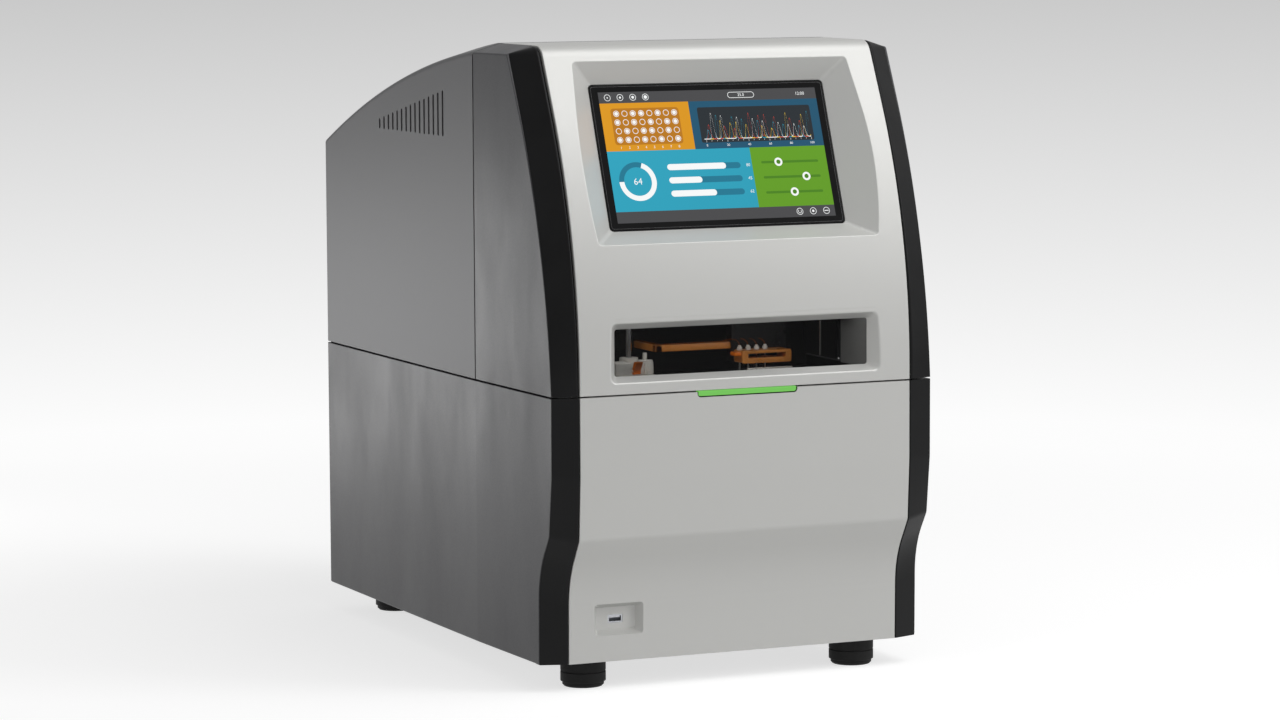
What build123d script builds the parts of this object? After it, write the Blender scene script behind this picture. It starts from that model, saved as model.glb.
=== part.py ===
from build123d import *
import os
from math import atan, cos, degrees, hypot, radians, sin, sqrt, tan

os.makedirs("parts", exist_ok=True)

# A benchtop capillary sequencer in millimetres, +Z up, the front facing -Y.
# The origin is on the bench under the middle of the casing.
# Depths are given as distances behind the foremost face, heights from the bench.

# Overall size
WIDTH = 400
DEPTH = 600
HEIGHT = 600
FRONT = -DEPTH / 2
SIDE = WIDTH / 2
WALL = 3

# Casing joints: the level seam under the door and the upright seam behind it
FOOT_HEIGHT = 27
SEAM_HEIGHT = 280
SEAM_DEPTH = 184
SEAM_GAP = 1.6
DOOR_GAP = 2.5
GROOVE = 0.5
LOWER_TOP = SEAM_HEIGHT - SEAM_GAP / 2
DOOR_BOTTOM = SEAM_HEIGHT + SEAM_GAP / 2
DOOR_REAR = SEAM_DEPTH - DOOR_GAP / 2
COVER_FRONT = SEAM_DEPTH + DOOR_GAP / 2

# Plan of the front: silver centre, black corner strips, grey sides that taper to them
SIDE_TAPER = 4
STRIP_WIDTH = 25.2
STRIP_HALF = SIDE - SIDE_TAPER
SILVER_HALF = STRIP_HALF - STRIP_WIDTH
STRIP_THICKNESS = 10
SHOULDER_DROP = 8.3

# Upper front outline: upright, a large arc, then a straight lean to the top
BULGE_START = SEAM_HEIGHT + 12
TOP_LEAN = 26.3
LEAN_RISE = 59.88
LEAN_START = HEIGHT - LEAN_RISE
BULGE_RADIUS = (LEAN_START - BULGE_START) / sin(radians(TOP_LEAN))
TOP_ROUND = 18
# The side edge of the strips is one arc that ends behind the lean's start by a lag
EDGE_SETBACK = 6
EDGE_ARC_START = SEAM_HEIGHT - 40
EDGE_LAG = 19
EDGE_ROUND = 3.5
STRIP_TOP_RUN = 19.2
EDGE_TOP_RUN = 2.7
# Behind the silver skin: how far back its floor, its end walls and the last of them run
FLOOR_REACH = 24
END_WALL_REACH = DOOR_REAR - 42.75
END_WALL_TALL = 14
TOP_SKIN_START = DOOR_REAR - 10.75

# Softened edges
SILVER_ROUND = 0.8
OPENING_ROUND = 1.2
WINDOW_ROUND = 2
STRIP_ROUND = 2.5
STRIP_OUTER_ROUND = 0.6
SIDE_ROUND = 0.6
SHOULDER_ROUND = 2
COVER_ROUND = 5

# Lower front outline as (depth, height) corners with a radius at each turn
LOWER_FRONT = [(30, 27), (29, 105), (3.5, 146), (0, 205), (0, LOWER_TOP)]
LOWER_EDGE = [(39, 27), (38, 114), (14, 150), (7.5, 205), (7.2, LOWER_TOP)]
LOWER_ROUNDS = [85, 9, 60]

# Top of the rear cover: level, then an arc that stands above its own chord by a bow
ARC_START = SEAM_DEPTH + 8
REAR_DROP = 103
REAR_TOP = HEIGHT - REAR_DROP
ARC_BOW = 14.83
LIP = 10

# Side vents
VENT_COUNT = 15
VENT_FIRST = 263
VENT_LAST = 435.7
VENT_BOTTOM = HEIGHT - 91.3
VENT_TALL = 44.3
VENT_SHORT = 10.3
VENT_WIDTH = 4

# Touchscreen: its glass is set back from the front at a level below and above its middle
SCREEN_MID = HEIGHT - 104.6
GLASS_REACH = 60
GLASS_SETBACKS = (23.2, 22.24)
GLASS_WIDTH = 244
GLASS_TALL = 143.5
GLASS_CORNER = 4
GLASS_THICKNESS = 3
GLASS_FIT = 0.3
# The recess widens forward from the glass to its mouth, which lies near the skin
RECESS_WIDTH = 292
RECESS_TALL = 184
RECESS_CORNER = 3
RECESS_DEPTH = 21
RECESS_OVERRUN = 6
RECESS_WALL = 4

# Viewing window
WINDOW_WIDTH = 278
WINDOW_LOW = SEAM_HEIGHT + 11
WINDOW_HIGH = WINDOW_LOW + 57
WINDOW_CORNER = 6
WINDOW_WALL = 3
PANE_WIDTH = 261
PANE_LOW = WINDOW_LOW + 5
PANE_HIGH = WINDOW_HIGH - 8
PANE_CORNER = 2.5
PANE_DEPTH = 12
PANE_THICKNESS = 3
PANE_SEAT = 4

# Status light bar and front data socket
BAR_HALF = 50.5
BAR_LOW = SEAM_HEIGHT - 4.7
BAR_REACH = 5
BAR_GAP = 1.1
BAR_CORNER = 2.4
USB_CENTRE = (51.2 - SILVER_HALF, 66.4)
USB_RECESS = (50, 30)
USB_FLOOR = (40.5, 21)
USB_DEPTH = 10

# Feet
FOOT_X = SIDE - 59
FOOT_FRONT = 65.7
FOOT_REAR = DEPTH - 40.3
FOOT_RADIUS = 21.5
FOOT_GROOVE = 0.8
FOOT_SEAM = 14.4

# Door hinge axis and the lift struts
HINGE_DEPTH = SEAM_DEPTH + 22
HINGE_HEIGHT = HEIGHT - 14
HUB_RADIUS = 8
HINGE_X = SILVER_HALF - 10.8
ARM_WIDTH = 8
ARM_INNER = 28
ARM_OUTER = 38
PIN_RADIUS = 4
RUNNING = 0.05
STRUT_LOW = (HINGE_DEPTH + 12.5, HINGE_HEIGHT - 68.9)
STRUT_HIGH = (HINGE_DEPTH - 111.5, HINGE_HEIGHT - 98.4)
STRUT_RADIUS = 7
ROD_RADIUS = 3

# Inside structure
SHEET = 3
BULKHEAD_DEPTH = SEAM_DEPTH + 78
BULKHEAD_TOP = HEIGHT - 25
WING_X = SIDE - 13
STRUT_X = WING_X - 8
DECK_TOP = SEAM_HEIGHT - 11
DECK_FRONT = 24
DECK_FOLD = 24
DECK_BAY_X = (-38, 166)
DECK_BAY_DEPTH = (34, 226)
PANEL_RECESS = 3
REAR_INNER = DEPTH - PANEL_RECESS

# Cooling fan in the rear panel
FAN_X = 70
FAN_HEIGHT = REAR_TOP - 97
FAN_SIZE = 120
FAN_DEPTH = 25
FAN_BORE = 57
FAN_HUB = 20
FAN_BLADES = 7

# Mains inlet and network sockets
INLET_X = SIDE - 70
INLET_HEIGHT = 88
LAN_X = 90 - SIDE
LAN_HEIGHT = 80

# Sampler
TIP_PITCH = 9
TIP_COUNT = 4
HEADER_X = 62
HEADER_DEPTH = 120
TRAY_TOP = DECK_TOP + 12
TIP_END = TRAY_TOP + 1
TIP_RADIUS = 1
HEADER_WIDTH = 52
HEADER_REACH = (12, 8)
RAIL_RADIUS = 4
SLIDE_RADIUS = 3


def at(v, z):
    """A point of the side view, v behind the foremost face and z above the bench."""
    return (FRONT + v, z)


def block(x, v, z, mode=Mode.ADD):
    """A box between two x values, two depths behind the front and two heights."""
    with Locations(((x[0] + x[1]) / 2, FRONT + (v[0] + v[1]) / 2, (z[0] + z[1]) / 2)):
        Box(x[1] - x[0], v[1] - v[0], z[1] - z[0], mode=mode)


def rod(start, end, radius, mode=Mode.ADD):
    """A round bar between two points given as (x, depth, height)."""
    a = Vector(start[0], FRONT + start[1], start[2])
    b = Vector(end[0], FRONT + end[1], end[2])
    with BuildSketch(Plane(origin=a, z_dir=b - a)) as section:
        Circle(radius)
    extrude(section.sketch, amount=(b - a).length, mode=mode)


def save(builder, name):
    """Label a finished piece and write it as one STEP file."""
    builder.part.label = name
    export_step(builder.part, f"parts/{name}.step")


def mirrored(part):
    """The same piece on the other side of the casing."""
    return mirror(part, about=Plane.YZ, mode=Mode.PRIVATE)


# Outlines of the door


def front_depth(z, inset=0.0):
    """How far behind the foremost face the silver front lies at a height."""
    if z <= BULGE_START:
        return inset
    radius = BULGE_RADIUS - inset
    turn = radians(TOP_LEAN)
    if z - BULGE_START < radius * sin(turn):
        return BULGE_RADIUS - sqrt(radius**2 - (z - BULGE_START) ** 2)
    end_v = BULGE_RADIUS - radius * cos(turn)
    return end_v + (z - BULGE_START - radius * sin(turn)) * tan(turn)


# The strips' side edge: an arc through its setback and its lag behind the lean's start
edge_rise = LEAN_START - EDGE_ARC_START
edge_run = front_depth(LEAN_START) + EDGE_LAG - EDGE_SETBACK
EDGE_RADIUS = (edge_rise**2 + edge_run**2) / (2 * edge_run)


def edge_depth(z):
    """How far back a strip's side edge lies: one arc, run on straight above and below it."""
    on_arc = min(max(z, BULGE_START), LEAN_START)
    rise = on_arc - EDGE_ARC_START
    run = sqrt(EDGE_RADIUS**2 - rise**2)
    return EDGE_SETBACK + EDGE_RADIUS - run + (z - on_arc) * rise / run


def curve_line(depth_of, shift, levels):
    """Arcs and lines through an outline's depths at the given levels."""
    for low, high in zip(levels, levels[1:]):
        mid = (low + high) / 2
        start = at(depth_of(low) + shift, low)
        end = at(depth_of(high) + shift, high)
        through = at(depth_of(mid) + shift, mid)
        bow = abs(through[0] - (start[0] + end[0]) / 2)
        if bow < 0.001:
            Line(start, end)
        else:
            ThreePointArc(start, through, end)


# The plane of the glass
glass_low = front_depth(SCREEN_MID - GLASS_REACH) + GLASS_SETBACKS[0]
glass_high = front_depth(SCREEN_MID + GLASS_REACH) + GLASS_SETBACKS[1]
GLASS_LEAN = degrees(atan((glass_high - glass_low) / (2 * GLASS_REACH)))


def behind_glass(z, behind):
    """Depth of the plane that lies behind the glass by a distance square to it."""
    lean = radians(GLASS_LEAN)
    return (glass_low + glass_high) / 2 + (z - SCREEN_MID) * tan(lean) + behind / cos(lean)


def door_solid_face(inset, floor, rear):
    """The side view of the door as a closed face, drawn in by inset all round."""
    radius = BULGE_RADIUS - inset
    start = at(inset, BULGE_START)
    turn = radians(TOP_LEAN)
    end_z = BULGE_START + radius * sin(turn)
    end = at(BULGE_RADIUS - radius * cos(turn), end_z)
    corner = at(front_depth(HEIGHT - inset, inset), HEIGHT - inset)
    with BuildLine() as outline:
        Line(at(inset, floor), start)
        TangentArc(start, end, tangent=(0, 1))
        Line(end, corner)
        Line(corner, at(rear, HEIGHT - inset))
        Line(at(rear, HEIGHT - inset), at(rear, floor))
        Line(at(rear, floor), at(inset, floor))
    make_face(outline.edges())
    fillet(vertices().sort_by_distance(Vector(*corner))[0], radius=TOP_ROUND - inset)


def strip_face(depth_of, top, run, rounding):
    """The section of a door corner strip: an outline, a run over the top and the wall behind."""
    levels = [DOOR_BOTTOM, BULGE_START, LEAN_START, top]
    low_levels = [DOOR_BOTTOM, BULGE_START, LEAN_START, top - STRIP_THICKNESS]
    corner = at(depth_of(top), top)
    reach = depth_of(top) + run
    with BuildLine() as outline:
        curve_line(depth_of, 0, levels)
        Line(corner, at(reach, top))
        Line(at(reach, top), at(reach, top - STRIP_THICKNESS))
        inner_top = at(depth_of(low_levels[-1]) + STRIP_THICKNESS, low_levels[-1])
        Line(at(reach, top - STRIP_THICKNESS), inner_top)
        curve_line(depth_of, STRIP_THICKNESS, low_levels)
        foot = depth_of(DOOR_BOTTOM)
        Line(at(foot + STRIP_THICKNESS, DOOR_BOTTOM), at(foot, DOOR_BOTTOM))
    make_face(outline.edges())
    fillet(vertices().sort_by_distance(Vector(*corner))[0], radius=rounding)


def lower_strip_face(corners):
    """The section of a lower corner strip between its outline and the same outline moved back."""
    outer = [at(v, z) for v, z in corners]
    inner = [at(v + STRIP_THICKNESS, z) for v, z in corners]
    with BuildLine() as outline:
        FilletPolyline(*outer, radius=LOWER_ROUNDS)
        Line(outer[-1], inner[-1])
        FilletPolyline(*inner, radius=LOWER_ROUNDS)
        Line(inner[0], outer[0])
    make_face(outline.edges())


def shoulder_height(x):
    """Height of the sloping shoulder between the silver top and the sides."""
    return HEIGHT - SHOULDER_DROP * (x - SILVER_HALF) / (SIDE - SILVER_HALF)


def on_skin(point):
    """Whether a point lies on the silver front."""
    return abs(point.Y - FRONT - front_depth(point.Z)) < 0.05


def on_edge_curve(point):
    """Whether a point lies on the grey panel's front edge, a groove behind the strip's."""
    return abs(point.Y - FRONT - edge_depth(point.Z) - GROOVE) < 0.05


# Door shells


with BuildPart() as door_front_shell:
    shell_half = SILVER_HALF - GROOVE
    with BuildSketch(Plane.YZ.offset(-shell_half)):
        door_solid_face(0, DOOR_BOTTOM, DOOR_REAR)
    extrude(amount=2 * shell_half)
    # both ends of the skin are softened from the bottom to the top
    end_edges = edges().filter_by(Axis.X, reverse=True).filter_by_position(Axis.Z, DOOR_BOTTOM + 0.1, HEIGHT)
    front_edges = [edge for edge in end_edges if edge.center().Y < FRONT + DOOR_REAR - 1]
    fillet(front_edges, radius=SILVER_ROUND)
    # hollow behind the skin, open at the back and below
    with BuildSketch(Plane.YZ.offset(-shell_half + WALL)):
        door_solid_face(WALL, DOOR_BOTTOM + WALL, DOOR_REAR + 1)
    extrude(amount=2 * (shell_half - WALL), mode=Mode.SUBTRACT)
    full_width = (-SILVER_HALF, SILVER_HALF)
    past_rear = DOOR_REAR + 1
    below = DOOR_BOTTOM - 1
    end_wall_low = HEIGHT - WALL - END_WALL_TALL
    block(full_width, (FLOOR_REACH, past_rear), (below, DOOR_BOTTOM + WALL), Mode.SUBTRACT)
    block(full_width, (END_WALL_REACH, past_rear), (below, end_wall_low), Mode.SUBTRACT)
    # only the top skin reaches back over the cover's lip as the door swings
    block(full_width, (TOP_SKIN_START, past_rear), (below, HEIGHT - WALL), Mode.SUBTRACT)
    # the screen surround: a thick frame behind the skin
    glass_plane = Plane(
        origin=(0, *at(behind_glass(SCREEN_MID, 0), SCREEN_MID)),
        x_dir=(1, 0, 0),
        z_dir=(0, -cos(radians(GLASS_LEAN)), sin(radians(GLASS_LEAN))),
    )
    surround_half = RECESS_WIDTH / 2 + RECESS_WALL
    with BuildSketch(Plane.YZ.offset(-surround_half)):
        with BuildLine():
            low = SCREEN_MID - RECESS_TALL / 2 - 1
            high = SCREEN_MID + RECESS_TALL / 2 + 3
            curve_line(front_depth, WALL / 2, [low, LEAN_START, high])
            Polyline(
                at(front_depth(high) + WALL / 2, high),
                at(behind_glass(high, GLASS_THICKNESS), high),
                at(behind_glass(low, GLASS_THICKNESS), low),
                at(front_depth(low) + WALL / 2, low),
            )
        make_face()
    extrude(amount=2 * surround_half)
    # the recess widens from the glass to the skin
    opening = (GLASS_WIDTH + 2 * GLASS_FIT, GLASS_TALL + 2 * GLASS_FIT)
    flare = (RECESS_DEPTH + RECESS_OVERRUN) / RECESS_DEPTH
    mouth_width = opening[0] + (RECESS_WIDTH - opening[0]) * flare
    mouth_tall = opening[1] + (RECESS_TALL - opening[1]) * flare
    with BuildSketch(glass_plane):
        RectangleRounded(*opening, GLASS_CORNER + GLASS_FIT)
    with BuildSketch(glass_plane.offset(RECESS_DEPTH + RECESS_OVERRUN)):
        RectangleRounded(mouth_width, mouth_tall, RECESS_CORNER)
    loft(mode=Mode.SUBTRACT)
    recess_rim = [edge for edge in edges(Select.LAST) if on_skin(edge.center())]
    fillet(recess_rim, radius=OPENING_ROUND)
    # the glass sits in a rebate behind the floor of the recess
    with BuildSketch(glass_plane.offset(0.1)):
        RectangleRounded(*opening, GLASS_CORNER + GLASS_FIT)
    extrude(amount=-GLASS_THICKNESS - 8, mode=Mode.SUBTRACT)
    # the viewing window: a boss behind the skin and a tapered opening
    window_mid = (WINDOW_LOW + WINDOW_HIGH) / 2
    window_tall = WINDOW_HIGH - WINDOW_LOW
    pane_mid = (PANE_LOW + PANE_HIGH) / 2
    with BuildSketch(Plane.XZ.offset(-(FRONT + WALL))):
        with Locations((0, window_mid)):
            RectangleRounded(
                WINDOW_WIDTH + 2 * WINDOW_WALL,
                window_tall + 2 * WINDOW_WALL,
                WINDOW_CORNER + WINDOW_WALL,
            )
    extrude(amount=-(PANE_DEPTH - WALL))
    with BuildSketch(Plane.XZ.offset(-FRONT)):
        with Locations((0, window_mid)):
            RectangleRounded(WINDOW_WIDTH, window_tall, WINDOW_CORNER)
    with BuildSketch(Plane.XZ.offset(-(FRONT + PANE_DEPTH))):
        with Locations((0, pane_mid)):
            RectangleRounded(PANE_WIDTH, PANE_HIGH - PANE_LOW, PANE_CORNER)
    loft(mode=Mode.SUBTRACT)
    window_rim = edges(Select.LAST).filter_by_position(Axis.Y, FRONT - 0.01, FRONT + 0.01)
    fillet(window_rim, radius=WINDOW_ROUND)
save(door_front_shell, "door_front_shell")


def door_side_form(inset):
    """The outer form of the right grey door panel, or its hollow where inset is a wall."""
    past = 5 if inset else 0
    inner_x = SILVER_HALF + (-1 if inset else GROOVE)
    with BuildPart() as form:
        with BuildSketch(Plane.XY.offset(DOOR_BOTTOM - past)):
            with BuildLine():
                Polyline(
                    (inner_x, FRONT - 5),
                    (STRIP_HALF - inset, FRONT - 5),
                    (STRIP_HALF - inset, FRONT + EDGE_SETBACK),
                    (SIDE - inset, FRONT + DOOR_REAR),
                    (SIDE - inset, FRONT + DOOR_REAR + past + 1),
                    (inner_x, FRONT + DOOR_REAR + past + 1),
                    close=True,
                )
            make_face()
        extrude(amount=HEIGHT - DOOR_BOTTOM + past + 2)
        if not inset:
            with BuildSketch(Plane.YZ.offset(SILVER_HALF - 5)):
                with BuildLine():
                    edge_levels = [DOOR_BOTTOM - 2, BULGE_START, LEAN_START, HEIGHT + 2]
                    curve_line(edge_depth, GROOVE, edge_levels)
                    Polyline(
                        at(edge_depth(HEIGHT + 2) + GROOVE, HEIGHT + 2),
                        at(DOOR_REAR, HEIGHT + 2),
                        at(DOOR_REAR, DOOR_BOTTOM - 2),
                        at(edge_depth(DOOR_BOTTOM - 2) + GROOVE, DOOR_BOTTOM - 2),
                    )
                make_face()
            extrude(amount=SIDE, mode=Mode.INTERSECT)
        with BuildSketch(Plane.XZ.offset(-FRONT + 10)):
            with BuildLine():
                Polyline(
                    (SILVER_HALF - 10, HEIGHT + 15),
                    (SILVER_HALF - 10, shoulder_height(SILVER_HALF - 10) - inset),
                    (SIDE + 2, shoulder_height(SIDE + 2) - inset),
                    (SIDE + 2, HEIGHT + 15),
                    close=True,
                )
            make_face()
        extrude(amount=-DEPTH, mode=Mode.SUBTRACT)
        if not inset:
            outer_edges = [edge for edge in edges() if edge.center().X > STRIP_HALF]
            shoulder_edge = [edge for edge in outer_edges if edge.center().Z > BULKHEAD_TOP]
            fillet(max(shoulder_edge, key=lambda edge: edge.length), radius=SHOULDER_ROUND)
            outer_edges = edges().filter_by_position(Axis.X, STRIP_HALF, SIDE)
            front_edges = [edge for edge in outer_edges if on_edge_curve(edge.center())]
            fillet(front_edges, radius=SIDE_ROUND)
    return form.part


door_side_outer = door_side_form(0)
door_side_inner = door_side_form(WALL)

with BuildPart() as door_side_panel_right:
    add(door_side_outer)
    add(door_side_inner, mode=Mode.SUBTRACT)
save(door_side_panel_right, "door_side_panel_right")

with BuildPart() as door_side_panel_left:
    add(mirrored(door_side_panel_right.part))
save(door_side_panel_left, "door_side_panel_left")

with BuildPart() as door_corner_strip_right:
    with BuildSketch(Plane.YZ.offset(SILVER_HALF)):
        strip_face(front_depth, HEIGHT, STRIP_TOP_RUN, TOP_ROUND)
    with BuildSketch(Plane.YZ.offset(STRIP_HALF)):
        strip_face(edge_depth, shoulder_height(STRIP_HALF), EDGE_TOP_RUN, EDGE_ROUND)
    loft(ruled=True)
    long_edges = edges().filter_by_position(Axis.X, SILVER_HALF - 0.01, SILVER_HALF + 0.01)
    fillet([edge for edge in long_edges if on_skin(edge.center())], radius=STRIP_ROUND)
    # a rebate takes the edge of the grey panel
    add(door_side_panel_right.part, mode=Mode.SUBTRACT)
save(door_corner_strip_right, "door_corner_strip_right")

with BuildPart() as door_corner_strip_left:
    add(mirrored(door_corner_strip_right.part))
save(door_corner_strip_left, "door_corner_strip_left")


# Lower casing

with BuildPart() as lower_front_panel:
    with BuildSketch(Plane.YZ.offset(-SILVER_HALF + GROOVE)):
        with BuildLine():
            outer = FilletPolyline(*[at(v, z) for v, z in LOWER_FRONT], radius=LOWER_ROUNDS)
            inner = FilletPolyline(*[at(v + WALL, z) for v, z in LOWER_FRONT], radius=LOWER_ROUNDS)
            Line(outer @ 0, inner @ 0)
            Line(outer @ 1, inner @ 1)
        make_face()
    extrude(amount=2 * (SILVER_HALF - GROOVE))
    skin_faces = [face for face in faces() if face.normal_at().Y < -0.1]
    skin_edges = [edge for face in skin_faces for edge in face.edges() if abs(edge.center().X) > 1]
    fillet(skin_edges, radius=SILVER_ROUND)
    # a ledge along the top and a return along the bottom
    inside = SILVER_HALF - GROOVE
    block((-inside, inside), (WALL, 22), (LOWER_TOP - WALL, LOWER_TOP))
    block((-inside, inside), (30 + WALL - 0.5, 48), (FOOT_HEIGHT, FOOT_HEIGHT + WALL))
    # the notch for the light bar keeps a gap round it
    notch_low = BAR_LOW - BAR_GAP
    with BuildSketch(Plane.XZ.offset(-(FRONT - 1))):
        with Locations((0, (notch_low + LOWER_TOP + 1) / 2)):
            Rectangle(2 * (BAR_HALF + BAR_GAP), LOWER_TOP + 1 - notch_low)
        fillet(vertices().group_by(Axis.Y)[0], radius=BAR_CORNER + BAR_GAP)
    extrude(amount=-(BAR_REACH + 1), mode=Mode.SUBTRACT)
    # the data socket sits at the end of a tapered recess
    panel_depth = 29.5
    with BuildSketch(Plane.XZ.offset(-(FRONT + panel_depth + 1.5))):
        with Locations(USB_CENTRE):
            RectangleRounded(USB_RECESS[0] + 5, USB_RECESS[1] + 5, 4)
    extrude(amount=-USB_DEPTH)
    with BuildSketch(Plane.XZ.offset(-(FRONT + panel_depth - 1))):
        with Locations(USB_CENTRE):
            RectangleRounded(USB_RECESS[0] + 0.8, USB_RECESS[1] + 0.8, 3.4)
    with BuildSketch(Plane.XZ.offset(-(FRONT + panel_depth + USB_DEPTH - 1))):
        with Locations(USB_CENTRE):
            RectangleRounded(USB_FLOOR[0], USB_FLOOR[1], 2)
    loft(mode=Mode.SUBTRACT)
    with BuildSketch(Plane.XZ.offset(-(FRONT + panel_depth))):
        with Locations((USB_CENTRE[0], USB_CENTRE[1] - 0.7)):
            Rectangle(15.4, 7.9)
    extrude(amount=-30, mode=Mode.SUBTRACT)
save(lower_front_panel, "lower_front_panel")

with BuildPart() as status_light_bar:
    with BuildSketch(Plane.XZ.offset(-FRONT)):
        with Locations((0, (BAR_LOW + SEAM_HEIGHT) / 2)):
            Rectangle(2 * BAR_HALF, SEAM_HEIGHT - BAR_LOW)
        fillet(vertices().group_by(Axis.Y)[0], radius=BAR_CORNER)
    extrude(amount=-BAR_REACH)
    fillet(edges().group_by(Axis.Y)[0], radius=0.5)
save(status_light_bar, "status_light_bar")

with BuildPart() as front_usb_socket:
    socket_face = panel_depth + USB_DEPTH - 1
    with BuildSketch(Plane.XZ.offset(-(FRONT + socket_face + 0.6))):
        with Locations((USB_CENTRE[0], USB_CENTRE[1] - 0.7)):
            Rectangle(15.4, 7.9)
    extrude(amount=-20)
    # the metal shell's mouth with its tongue
    with BuildSketch(Plane.XZ.offset(-(FRONT + socket_face + 0.6))):
        with Locations((USB_CENTRE[0], USB_CENTRE[1] - 0.7)):
            Rectangle(12.5, 5.1)
    extrude(amount=-14, mode=Mode.SUBTRACT)
    block(
        (USB_CENTRE[0] - 5.6, USB_CENTRE[0] + 5.6),
        (socket_face + 2, socket_face + 16),
        (USB_CENTRE[1] + 0.1, USB_CENTRE[1] + 1.9),
    )
save(front_usb_socket, "front_usb_socket")


def lower_side_form(inset):
    """The outer form of the right lower side panel, or its hollow where inset is a wall."""
    past = 5 if inset else 0
    with BuildPart() as form:
        with BuildSketch(Plane.XY.offset(FOOT_HEIGHT - past)):
            with BuildLine():
                Polyline(
                    (STRIP_HALF - WALL - 2 - 5 * past, FRONT - past),
                    (STRIP_HALF - inset, FRONT - past),
                    (STRIP_HALF - inset, FRONT + EDGE_SETBACK),
                    (SIDE - inset, FRONT + SEAM_DEPTH),
                    (SIDE - inset, FRONT + DEPTH + past),
                    (STRIP_HALF - WALL - 2 - 5 * past, FRONT + DEPTH + past),
                    close=True,
                )
            make_face()
        extrude(amount=LOWER_TOP - FOOT_HEIGHT - (WALL if inset else 0) + past)
        if not inset:
            rear_foot = Vector(SIDE, FRONT + DEPTH, FOOT_HEIGHT)
            fillet(edges().filter_by(Axis.Z).sort_by_distance(rear_foot)[0], radius=COVER_ROUND)
            low_edges = edges().group_by(Axis.Z)[0].filter_by_position(Axis.X, STRIP_HALF + 0.1, SIDE)
            fillet(low_edges.filter_by(lambda edge: edge.length > WALL), radius=SHOULDER_ROUND)
    return form.part


lower_side_outer = lower_side_form(0)
lower_side_inner = lower_side_form(WALL)

with BuildPart() as lower_side_panel_right:
    add(lower_side_outer)
    add(lower_side_inner, mode=Mode.SUBTRACT)
    # the front edge follows the corner strip
    with BuildSketch(Plane.YZ.offset(SILVER_HALF)):
        with BuildLine():
            edge = FilletPolyline(*[at(v + GROOVE, z) for v, z in LOWER_EDGE], radius=LOWER_ROUNDS)
            Polyline(edge @ 1, at(-2, LOWER_TOP), at(-2, FOOT_HEIGHT), edge @ 0)
        make_face()
    extrude(amount=SIDE - SILVER_HALF + 1, mode=Mode.SUBTRACT)
    cut_edges = edges(Select.LAST).filter_by_position(Axis.X, STRIP_HALF, SIDE)
    upright = [edge for edge in cut_edges if edge.length > 2 * SHOULDER_ROUND]
    fillet(upright, radius=SIDE_ROUND)
    # the ledge stops short of the rear panel
    ledge_end = (REAR_INNER - SHEET - 0.5, DEPTH + 1)
    block((SILVER_HALF, SIDE - WALL), ledge_end, (SEAM_HEIGHT - 10, SEAM_HEIGHT), Mode.SUBTRACT)
save(lower_side_panel_right, "lower_side_panel_right")

with BuildPart() as lower_side_panel_left:
    add(mirrored(lower_side_panel_right.part))
save(lower_side_panel_left, "lower_side_panel_left")

with BuildPart() as lower_corner_strip_right:
    with BuildSketch(Plane.YZ.offset(SILVER_HALF)):
        lower_strip_face(LOWER_FRONT)
    with BuildSketch(Plane.YZ.offset(STRIP_HALF)):
        lower_strip_face(LOWER_EDGE)
    loft(ruled=True)
    front_faces = [face for face in faces() if face.normal_at().Y < -0.1]
    silver_side = [edge for face in front_faces for edge in face.edges().sort_by(Axis.X)[:1]]
    fillet(silver_side, radius=SILVER_ROUND)
    add(lower_side_panel_right.part, mode=Mode.SUBTRACT)
save(lower_corner_strip_right, "lower_corner_strip_right")

with BuildPart() as lower_corner_strip_left:
    add(mirrored(lower_corner_strip_right.part))
save(lower_corner_strip_left, "lower_corner_strip_left")

with BuildPart() as base_pan:
    with BuildSketch(Plane.XY.offset(FOOT_HEIGHT)):
        with BuildLine():
            pan_half = SIDE - WALL - 0.5
            pan_rear = FRONT + REAR_INNER - SHEET - 1
            Polyline(
                (pan_half - SIDE_TAPER - 0.5, FRONT + 50),
                (pan_half, FRONT + SEAM_DEPTH),
                (pan_half, pan_rear),
                (-pan_half, pan_rear),
                (-pan_half, FRONT + SEAM_DEPTH),
                (SIDE_TAPER + 0.5 - pan_half, FRONT + 50),
                close=True,
            )
        make_face()
        # air inlets between the feet
        with Locations((0, FRONT + DEPTH - 160)):
            with GridLocations(0, 12, 1, 12):
                SlotOverall(150, 5, mode=Mode.SUBTRACT)
    extrude(amount=SHEET)
save(base_pan, "base_pan")

with BuildPart() as feet:
    with BuildSketch(Plane.XZ) as foot_section:
        with BuildLine():
            Polyline(
                (0, 0),
                (FOOT_RADIUS - 3.5, 0),
                (FOOT_RADIUS - 1.8, 1.7),
                (FOOT_RADIUS - 1.8, 4.2),
                (FOOT_RADIUS, 5),
                (FOOT_RADIUS, FOOT_SEAM - FOOT_GROOVE),
                (FOOT_RADIUS - FOOT_GROOVE, FOOT_SEAM - FOOT_GROOVE / 2),
                (FOOT_RADIUS - FOOT_GROOVE, FOOT_SEAM + FOOT_GROOVE / 2),
                (FOOT_RADIUS, FOOT_SEAM + FOOT_GROOVE),
                (FOOT_RADIUS, FOOT_HEIGHT - 1),
                (FOOT_RADIUS - 1, FOOT_HEIGHT),
                (0, FOOT_HEIGHT),
                close=True,
            )
        make_face()
    foot_form = revolve(axis=Axis.Z, mode=Mode.PRIVATE)
    for foot_v in (FOOT_FRONT, FOOT_REAR):
        with Locations((FOOT_X, FRONT + foot_v, 0), (-FOOT_X, FRONT + foot_v, 0)):
            add(foot_form)
save(feet, "feet")


# Rear cover


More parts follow.
